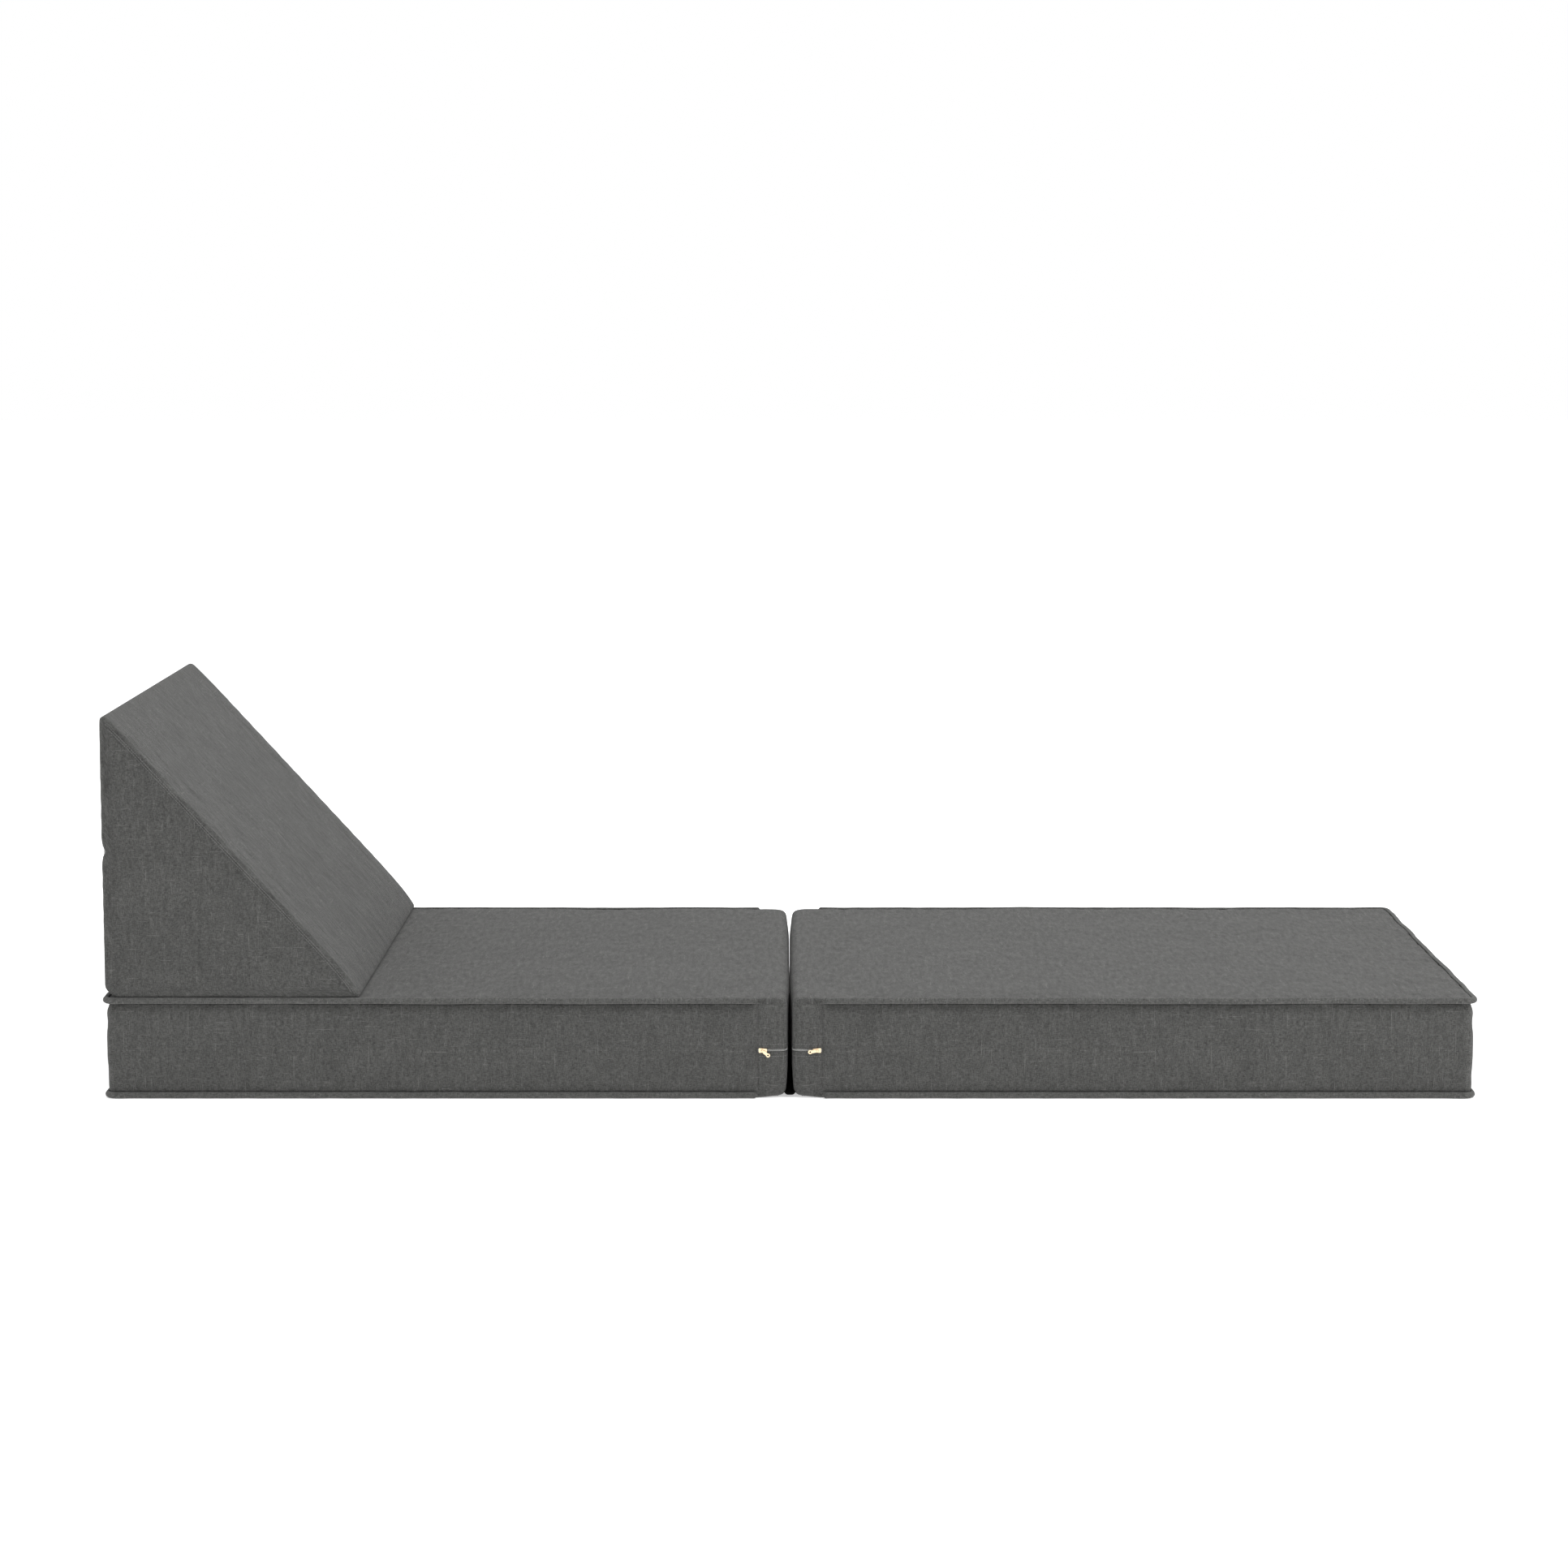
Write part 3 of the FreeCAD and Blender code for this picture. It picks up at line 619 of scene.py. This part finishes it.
def beads(name, places, along, across, outwards, size, mirror=False):
    """The same small rounded bead at every place: three rings of six sides and a point at each end, laid on the
    axes given and half sunk."""
    angle = np.arange(6) * np.pi / 3
    circle = np.stack([0 * angle, np.cos(angle), np.sin(angle)], axis=1)
    rings = [r * circle + (x, 0, 0) for x, r in ((-.42, .36), (0, .5), (.42, .36))]
    bead = np.concatenate([[[-.5, 0, 0]], *rings, [[.5, 0, 0]]]) * size
    k = np.arange(6)
    n = (k + 1) % 6
    faces = [np.stack([0 * k, 1 + n, 1 + k], axis=1)]
    for start in (1, 7):
        faces.append(np.stack([start + k, start + n, start + 6 + n], axis=1))
        faces.append(np.stack([start + k, start + 6 + n, start + 6 + k], axis=1))
    faces += [np.stack([13 + k, 13 + n, 0 * k + 19], axis=1)]
    faces = np.concatenate(faces)
    axes = np.stack(np.broadcast_arrays(along, across, outwards), axis=1)
    points = places[:, None] + bead @ axes
    faces = faces[None] + 20 * np.arange(len(places))[:, None, None]
    return new_piece(name, points.reshape(-1, 3), faces.reshape(-1, 3), None, mirror)


def woven_tape(name, sheet, mirror=False):
    """A thin tape on a grid of places, laid out as quads takes them or turned half round."""
    number = np.arange(sheet[..., 0].size).reshape(sheet.shape[:2])
    tape = new_piece(name, sheet.reshape(-1, 3), quads(number), None, mirror)
    thicken(tape, tape_wall)
    return tape


def banded(tree, scale, distortion, direction):
    """Waves across the object in one direction, from 0 to 1."""
    sockets = {"Vector": shader(tree, "TexCoord", {}).outputs["Object"], "Scale": scale, "Distortion": distortion}
    return shader(tree, "TexWave", sockets, bands_direction=direction).outputs[1]


def grained(tree, scale, detail):
    """Noise on the object's own places."""
    return noise(tree, shader(tree, "TexCoord", {}).outputs["Object"], scale, detail)


def twisted(tree):
    """Slanting plies and a few loose fibres."""
    plies = banded(tree, 900.0, 1.5, "DIAGONAL")
    return two_tone(tree, plies, (.07, .07, .067), (.20, .20, .195)), plies


def drawn_nylon(tree):
    """Slight cloudiness in the drawn wire."""
    cloud = grained(tree, 350.0, 2.0)
    return two_tone(tree, cloud, (.17, .17, .165), (.34, .34, .33)), cloud


def ribbed_tape(tree):
    """Close ribs across a woven tape."""
    ribs = banded(tree, 400.0, .6, "X")
    return two_tone(tree, ribs, (.03, .03, .03), (.075, .075, .073)), ribs


def cast_metal(tree):
    """The faint unevenness of a tumbled casting under its plating."""
    grain = grained(tree, 900.0, 3.0)
    return two_tone(tree, grain, (.80, .60, .38), (.95, .78, .55)), grain


thread = finish_material("charcoal sewing thread", twisted, .0001, Roughness=.6, Sheen_Weight=.2)
coil_nylon = finish_material("grey nylon coil", drawn_nylon, .00003, Roughness=.35)
tape_cloth = finish_material("dark zip tape", ribbed_tape, .0001, Roughness=.85)
pale_gold = finish_material("pale gold plated casting", cast_metal, .00002, Metallic=.9, Roughness=.33)

for end, body in (("head", "head_panel"), ("foot", "foot_panel")):
    mirror = end == "head"
    fine, ring = covers[end]["fine"], covers[end]["ring"]
    gusset_ring = np.concatenate([ring[:, far_seam:], ring[:, :seam_column + 1]], axis=1)
    rows = fine["points"][gusset_ring]
    for row, side in ((LOWER_STITCH, "lower"), (UPPER_STITCH, "upper")):
        path, _ = smooth_path(rows[row], thread_pitch)
        along, outwards = level_sides(path)
        path, along, outwards = path[1:-1], along[1:-1], outwards[1:-1]
        row_of = beads(end + "_topstitch_" + side, path, along, np.cross(outwards, along), outwards, stitch, mirror)
        fitted(row_of, thread, body, "cover_fabric")
    path, _ = smooth_path((rows[LOWER_LIP] + rows[UPPER_LIP]) / 2, tooth_pitch)
    along, outwards = level_sides(path)
    up = np.cross(outwards, along)
    zigzag = tooth_swing * (-1.0) ** np.arange(len(path))
    teeth = path - coil_sink * outwards + zigzag[:, None] * up
    inner = slice(2, -2)
    coil = beads(end + "_zip_coil_teeth", teeth[inner], up[inner], -along[inner], outwards[inner], tooth, mirror)
    fitted(coil, coil_nylon, body, "zip_coil", end + "_zip_coil")
    normals = fine["normals"][gusset_ring]
    for side, low, high in (("lower", TAPE_FOOT, LOWER_LIP), ("upper", UPPER_LIP, TAPE_TOP)):
        behind = rows[low:high + 1] - tape_sink * normals[low:high + 1]
        tape = woven_tape(end + "_zip_tape_" + side + "_woven", behind, mirror)
        fitted(tape, tape_cloth, body, "zip_tape", end + "_zip_tape_" + side)

for end in ("head", "foot", "wedge"):
    for hardware, material in (("_zip_stops", coil_nylon), ("_zip_slider", pale_gold), ("_zip_pull", pale_gold)):
        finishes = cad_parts[end + hardware].data.materials
        finishes.clear()
        finishes.append(material)


# Cloth hinge. One strip of black cloth is sewn along the lower edge of both hinge ends, so it lies in the bottom of
# the gap and the foot panel turns about it. It runs 13 mm past the hinge flap at each end, so its black also
# stands in for the deep shade at the ends of the gap: partly real cloth, partly painted shade.

# The extra 13 mm at each end is partly painted shade.
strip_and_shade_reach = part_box("foot_hinge_flap")[1].y + .013
strip_half, strip_wall = 0.0084, 0.0009
strip_bottom, strip_edge = 0.0040, 0.0098


def black_twill(tree):
    """Fine slanting ridges of a dense black cloth."""
    ridges = banded(tree, 320.0, .4, "DIAGONAL")
    return two_tone(tree, ridges, (.004, .004, .004), (.012, .012, .012)), ridges


hinge_cloth = finish_material("black hinge cloth", black_twill, .0001, Roughness=.9, Specular_IOR_Level=.1)
strip_x = np.linspace(-strip_half, strip_half, 17)
strip_y = np.linspace(-strip_and_shade_reach, strip_and_shade_reach, 121)
strip_draw = np.random.default_rng(3)
sag = .0005 * ripple((strip_y + strip_and_shade_reach) / (2 * strip_and_shade_reach), (3, 7, 12), strip_draw)
profile = strip_bottom + (strip_edge - strip_bottom) * (strip_x / strip_half) ** 4
strip_z = profile[:, None] + sag[None] * (1 - (strip_x / strip_half) ** 2)[:, None]
strip_grid = np.stack(np.broadcast_arrays(strip_x[:, None], strip_y[None], strip_z), axis=2)
strip_index = np.arange(strip_grid[..., 0].size).reshape(strip_grid.shape[:2])
hinge = new_piece("hinge_cloth_strip", strip_grid.reshape(-1, 3), quads(strip_index.T))
thicken(hinge, strip_wall, 0)
hinge.data.materials.append(hinge_cloth)
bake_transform(hinge)
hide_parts("head_hinge_flap", "foot_hinge_flap")


# Backrest wedge. A block of firm foam is cut on the slant. Its cover has one piece that runs from the toe up the
# slope and over the ridge to the zip across the back, a lower back, a base, and two triangular sides. The slope
# cloth laps over each side's edge and is sewn down with two close rows of stitches.

side_low, side_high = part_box("wedge_side_near")
wedge_back, wedge_base = side_low.x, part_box("wedge_cover_base")[0].z
wedge_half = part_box("wedge_side_far")[1].y
sharp_toe, sharp_ridge = 0.0075, 0.0102
wedge_depth = side_high.x - wedge_back + sharp_toe
wedge_height = side_high.z - wedge_base + sharp_ridge
slant = np.hypot(wedge_depth, wedge_height)
roundings = np.array([.019, .004, .0052])
back_fill, sink = 0.0040, 0.0021
strips_low, strips_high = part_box("wedge_hook_strips")
strip_width = 0.05
slope_angle = np.arctan2(wedge_depth, wedge_height)
arc_starts = np.array([np.pi, 1.5 * np.pi, 2 * np.pi + slope_angle])
arc_turns = np.array([.5 * np.pi, .5 * np.pi + slope_angle, np.pi - slope_angle])
wedge_zip_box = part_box("wedge_zip_coil")
wedge_zip_level = (wedge_zip_box[0].z + wedge_zip_box[1].z) / 2 - wedge_base
arc_parts = np.linspace(0, 1, 7)
back_top = wedge_height - roundings[2] / np.tan(np.arctan2(wedge_depth, wedge_height) / 2)
zip_places = wedge_zip_level + np.array([tape_half, topstitch_half, lip_half, -lip_half, -topstitch_half, -tape_half])
above = np.linspace(back_top, zip_places[0] + .010, 13)[1:]
below = np.linspace(zip_places[-1] - .010, roundings[0], 14)[:-1]
back_places = np.concatenate([above, zip_places, below])


def even_parts(length):
    """Parts of a side between its arcs: fine steps at both ends and even ones between, its own ends left out."""
    return stations(length, (0, .004, .010), (0, .004, .010), .013)[1:-1] / length


base_length = wedge_depth - roundings[0] - roundings[1] / np.tan((np.pi - arc_turns[1]) / 2)
slope_length = slant - (roundings[1:] / np.tan((np.pi - arc_turns[1:]) / 2)).sum()
base_parts = even_parts(base_length)
slope_parts = even_parts(slope_length)
back_parts = (back_top - back_places) / (back_top - roundings[0])
if (21 + len(base_parts) + len(slope_parts) + len(back_parts)) % 2:
    base_parts = np.insert(base_parts, 20, (base_parts[19] + base_parts[20]) / 2)
side_parts = [base_parts, slope_parts, back_parts]
turn_of, part_of, is_arc = [], [], []
for corner in range(3):
    turn_of += [np.full(7, corner), np.full(len(side_parts[corner]), corner)]
    part_of += [arc_parts, side_parts[corner]]
    is_arc += [np.full(7, True), np.full(len(side_parts[corner]), False)]
turn_of, part_of, is_arc = np.concatenate(turn_of), np.concatenate(part_of), np.concatenate(is_arc)
wedge_columns = len(turn_of)
base_start, base_stop = 3, 7 + len(side_parts[0]) + 3
slope_start = 7 + len(side_parts[0]) + 7
back_start = slope_start + len(side_parts[1]) + 7
upper_lip = back_start + len(above) + 2
lower_lip = upper_lip + 1


def inset_corner(corner, inset):
    """A corner of the triangle after its three sides have moved inwards by inset."""
    heel = np.stack([inset, inset], axis=-1)
    toe = np.stack([wedge_depth - inset * (slant + wedge_depth) / wedge_height, inset], axis=-1)
    ridge = np.stack([inset, wedge_height - inset * (slant + wedge_height) / wedge_depth], axis=-1)
    corner = np.asarray(corner)[..., None]
    return np.where(corner == 0, heel, np.where(corner == 1, toe, ridge))


def triangle(inset):
    """The outline at each column's own inset. An arc's point is its centre plus its radius along the turning normal,
    and a side's point divides the line between the ends of its two arcs."""
    def radius(corner):
        return np.maximum(roundings[corner] - inset, .0010 + .07 * inset)
    following = (turn_of + 1) % 3
    normal = arc_starts[turn_of] + arc_turns[turn_of]
    angle = np.where(is_arc, arc_starts[turn_of] + part_of * arc_turns[turn_of], normal)
    direction = np.stack([np.cos(angle), np.sin(angle)], axis=-1)
    own, other = radius(turn_of)[..., None], radius(following)[..., None]
    start = inset_corner(turn_of, inset + own[..., 0]) + own * direction
    stop = inset_corner(following, inset + other[..., 0]) + other * direction
    part = np.where(is_arc, 0, part_of)[:, None]
    return start * (1 - part) + stop * part


edge_steps = np.array([
    -.096, -.078, -.058, -.040, -.026, -.017, -.0118, -.0110, -.0073, -.0045, -.0022,
    0, .0022, .0045, .0073, .011, .017,
])
LAP_ROW, INNER_ROW, OUTER_ROW, ZIP_ROW = 7, 8, 9, 11
middle_y = np.linspace(edge_steps[-1], 2 * wedge_half - edge_steps[-1], 61)[1:-1]
wedge_rows = np.concatenate([edge_steps, middle_y, 2 * wedge_half - edge_steps[::-1]])
row_count = len(wedge_rows)


def wedge_cover():
    """The closed form of the wedge's cover. Within r of an edge, at a distance q along the surface, the turn is
    45°·(q/r + 1), the inset r·(1−sin) and the depth r·(1−cos). The slope falls in towards the toe by an exponential
    of its height, and the lap stands up in a small step."""
    draw = np.random.default_rng(17)
    distance = np.minimum(wedge_rows, 2 * wedge_half - wedge_rows)[:, None]
    ridge_near = ease(np.abs(np.arange(wedge_columns) - (back_start - 4)), 2, 9)
    under = np.arange(wedge_columns)
    under = ease(under, 0, base_start + 2) * (1 - ease(under, base_stop - 2, base_stop + 1))
    radius = (.010 - .0045 * ridge_near - .0025 * under)[None]
    turn = np.pi / 4 * (np.clip(distance / radius, -1, 1) + 1)
    inset = np.where(np.abs(distance) < radius, radius * (1 - np.sin(turn)), np.maximum(-distance, 0))
    depth = np.where(np.abs(distance) < radius, radius * (1 - np.cos(turn)), np.maximum(distance, 0))
    flat = np.stack([triangle(row) for row in inset])
    x, z = flat[..., 0], flat[..., 1]
    lap = .0008 * (1 - ease(distance, -.003, 0)) * ease(distance, -.0114, -.0108)
    lap = lap - .0005 * (1 - ease(distance, -.0117, -.0113)) * ease(distance, -.02, -.0118)
    lap = lap * ridge_near
    dome = .0016 * ease(-distance, .012, .09)
    depth = depth - lap - dome
    side = np.where(wedge_rows[:, None] > wedge_half, -1, 1)
    y = side * (depth - wedge_half)
    gap = np.maximum(wedge_depth * (1 - z / wedge_height) - x, 0)
    along = ease(distance, 0, .06)
    x = x - .0100 * np.exp(-z / .026 - gap / .03)
    on_slope = np.zeros(wedge_columns)
    on_slope[slope_start:slope_start + len(side_parts[1])] = np.sin(np.pi * side_parts[1])
    soft = (.0008 + .0005 * ripple(wedge_rows / (2 * wedge_half), (2, 3, 5), draw))[:, None] * on_slope[None] * along
    x = x + soft * np.cos(slope_angle)
    z = z + soft * np.sin(slope_angle)
    for column, move in ((upper_lip, .0003), (lower_lip, .0003), (upper_lip - 1, -.0003), (lower_lip + 1, -.0003)):
        x[:, column] -= move * along[:, 0]
    x -= back_fill * np.exp(-flat[..., 0] / .012) * (1 - np.exp(-((z - wedge_zip_level) / .008) ** 2))
    on_strip = 0
    for low in (strips_low.x, strips_high.x - strip_width):
        beyond = np.maximum(low - x - wedge_back, x + wedge_back - low - strip_width)
        beyond = np.maximum(beyond, np.abs(y) - strips_high.y)
        on_strip = np.maximum(on_strip, 1 - ease(beyond, .002, .014))
    z -= sink * (1 - on_strip) * np.exp(-flat[..., 1] / .012)
    points = np.stack([wedge_back + x, y, wedge_base + z], axis=2)

    index = np.arange(row_count * wedge_columns).reshape(row_count, wedge_columns)
    closed = np.hstack([index, index[:, :1]]).T
    k = np.arange(wedge_columns // 2 - 1)
    across = [k, k + 1, wedge_columns - 2 - k, wedge_columns - 1 - k]
    near_fill = np.stack([index[0, place] for place in across], axis=1)
    far_fill = np.stack([index[-1, across[number]] for number in (0, 3, 2, 1)], axis=1)
    faces = np.concatenate([quads(closed), near_fill, far_fill])
    column = np.arange(wedge_columns)[:, None]
    row = np.arange(row_count - 1)[None]
    kinds = np.where((column > upper_lip) | (column < base_start), 1, 0) + 0 * row
    kinds = np.where((column >= base_start) & (column < base_stop), 2, kinds)
    kinds = np.where((column == upper_lip) & (row >= ZIP_ROW) & (row < row_count - 1 - ZIP_ROW), 5, kinds)
    kinds = np.where(row < LAP_ROW, 3, np.where(row >= row_count - 1 - LAP_ROW, 4, kinds)).reshape(-1)
    kinds = np.concatenate([kinds, np.full(len(k), 3), np.full(len(k), 4)])

    outline = triangle(np.zeros(wedge_columns))
    lengths = np.concatenate([[0], np.cumsum(np.linalg.norm(np.roll(outline, -1, 0) - outline, axis=1))])
    chart = np.stack(np.broadcast_arrays(wedge_rows[None], lengths[:, None]), axis=2)
    flat_map = points[..., [0, 2]]
    flat_map = np.concatenate([flat_map, flat_map[:, :1]], axis=1).transpose(1, 0, 2)
    wall_kinds = kinds[:len(faces) - 2 * len(k)]
    uv = np.where((wall_kinds >= 3)[:, None, None] & (wall_kinds < 5)[:, None, None], quads(flat_map), quads(chart))
    plane = points.reshape(-1, 3)[:, [0, 2]]
    uv = np.concatenate([uv, plane[near_fill], plane[far_fill]])

    hold = np.full((row_count, wedge_columns), .25)
    edge_row = np.abs(distance[:, 0]) < .0119
    hold[edge_row] = .8
    hold[[LAP_ROW, row_count - 1 - LAP_ROW]] = 1
    hold[distance[:, 0] < -.07] = 1
    hold[:, base_start:base_stop + 1] = 1
    hold[:, back_start - 9:back_start + 2] = .9
    hold[:, upper_lip - 2:lower_lip + 3] = 1
    flat_points = points.reshape(-1, 3)
    full = settled(flat_points, faces, hold.reshape(-1), foam_push, .010, .002)
    return {"fine": smoothed(full, faces, kinds, uv), "ring": index, "coarse": full, "faces": faces}


wedge = wedge_cover()
for kind, part_name in enumerate(("cover_slope", "cover_rear_lower", "cover_base", "side_near", "side_far")):
    part = sewn_part("wedge_" + part_name + "_sewn", wedge["fine"], kind, False)
    # The slope and lower back take the shaded copy of the cloth: painted shade.
    material = shaded_copy_cloth if part_name in ("cover_slope", "cover_rear_lower") else cover_cloth
    fitted(part, material, "wedge", "cover_fabric", "wedge_" + part_name)
place = wedge["coarse"]
pocket = (1 - ease(np.abs(place[:, 2] - wedge_base - wedge_zip_level), .006, .010)) * (place[:, 0] < wedge_back + .01)
for part_name, depth, wall, material, slot in FILLINGS:
    part = inside_form("wedge_" + part_name + "_filled", wedge, depth, wall, False, pocket)
    fitted(part, material, "wedge", slot, "wedge_" + part_name)

fine_rows = wedge["fine"]["points"][wedge["ring"]]
slope_columns = slice(slope_start - 3, back_start - 4)
for side, sign in (("near", -1), ("far", 1)):
    rows = fine_rows if side == "near" else fine_rows[::-1]
    for number, (first, second, share) in enumerate(((OUTER_ROW, INNER_ROW, .36), (INNER_ROW, LAP_ROW, .5))):
        seam = rows[first, slope_columns] * (1 - share) + rows[second, slope_columns] * share
        path, _ = smooth_path(seam, thread_pitch)
        along, _ = level_sides(path)
        outwards = np.array([0, sign, 0.0])
        across = np.cross(outwards, along)
        name = "wedge_lap_stitch_" + side + "_" + str(number)
        row_of = beads(name, path + .0001 * outwards, along, across, outwards, stitch)
        fitted(row_of, thread, "wedge", "cover_fabric")
zip_rows = fine_rows[ZIP_ROW:row_count - ZIP_ROW]
backwards, sideways, upwards = np.array([-1.0, 0, 0]), np.array([0, 1.0, 0]), np.array([0, 0, 1.0])
for side, column in (("upper", upper_lip - 1), ("lower", lower_lip + 1)):
    path, _ = smooth_path(zip_rows[:, column], thread_pitch)
    row_of = beads("wedge_topstitch_" + side, path, sideways, -upwards, backwards, stitch)
    fitted(row_of, thread, "wedge", "cover_fabric")
path, _ = smooth_path((zip_rows[:, upper_lip] + zip_rows[:, lower_lip]) / 2, tooth_pitch)
zigzag = tooth_swing * (-1.0) ** np.arange(len(path))
teeth = path - coil_sink * backwards + zigzag[:, None] * upwards
coil = beads("wedge_zip_coil_teeth", teeth[3:-3], upwards, sideways, backwards, tooth)
fitted(coil, coil_nylon, "wedge", "zip_coil", "wedge_zip_coil")
for side, low, high in (("upper", upper_lip - 2, upper_lip), ("lower", lower_lip, lower_lip + 2)):
    behind = zip_rows[:, low:high + 1] - tape_sink * backwards
    tape = woven_tape("wedge_zip_tape_" + side + "_woven", behind.transpose(1, 0, 2))
    fitted(tape, tape_cloth, "wedge", "zip_tape", "wedge_zip_tape_" + side)


# Fastening strips. Two strips of loop tape are sewn to the head panel's top and two of hook tape to the wedge's
# base, and they hold the wedge where it stands.


def brushed_loops(tree):
    """A dense nap of small tangled loops."""
    place = shader(tree, "TexCoord", {}).outputs["Object"]
    nap = shader(tree, "TexVoronoi", {"Vector": place, "Scale": 1100.0}).outputs["Distance"]
    height = sum_of(tree, "MULTIPLY_ADD", nap, -1.0, noise(tree, place, 500.0, 3.0))
    return two_tone(tree, height, (.012, .012, .012), (.07, .07, .07)), height


fastening = finish_material("black hook and loop tape", brushed_loops, .0006, Roughness=.8, Sheen_Weight=.3)
for node in ("head_loop_strips", "wedge_hook_strips"):
    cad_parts[node].data.materials.clear()
    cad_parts[node].data.materials.append(fastening)


# The room: a plain pale floor, even light from all round, and two large soft lamps overhead, the stronger one
# towards the foot end so that the wedge's slope is the lightest face.

floor = new_piece("floor", [(-30, -30, 0), (30, -30, 0), (30, 30, 0), (-30, 30, 0)], np.array([[0, 1, 2, 3]]))
floor_surface = {"Roughness": .8, "Specular_IOR_Level": .2, "Emission_Strength": .5}
floor_paint = finish_material("pale floor", (.86, .86, .86), 0, **floor_surface)
floor_paint.node_tree.nodes["Principled BSDF"].inputs["Emission Color"].default_value = (1, 1, 1, 1)
floor.data.materials.append(floor_paint)

world = bpy.data.worlds.new("studio")
world.use_nodes = True
world.node_tree.nodes["Background"].inputs["Color"].default_value = (1, 1, 1, 1)
world.node_tree.nodes["Background"].inputs["Strength"].default_value = 1.0
bpy.context.scene.world = world
LAMPS = (
    ("overhead", (.6, -.6, 4.2), (0, 0, 0), 4.0, 66),
    ("foot side", (3.8, -1.5, 3.2), (0, .85, -.35), 2.5, 74),
)
for name, place, turn, size, power in LAMPS:
    lamp = bpy.data.lights.new(name, "AREA")
    lamp.shape = "SQUARE"
    lamp.size = size
    lamp.energy = power
    holder = bpy.data.objects.new(name, lamp)
    holder.location = place
    holder.rotation_euler = turn
    bpy.context.scene.collection.objects.link(holder)

camera = bpy.data.cameras.new("camera")
camera.lens = 86.03
camera.sensor_width = 36
holder = bpy.data.objects.new("camera", camera)
holder.location = (-.00828, -5.5783, 1.1135)
holder.rotation_euler = (np.pi / 2 - .12788, 0, 0)
bpy.context.scene.collection.objects.link(holder)
bpy.context.scene.camera = holder
bpy.context.scene.view_settings.view_transform = "Standard"
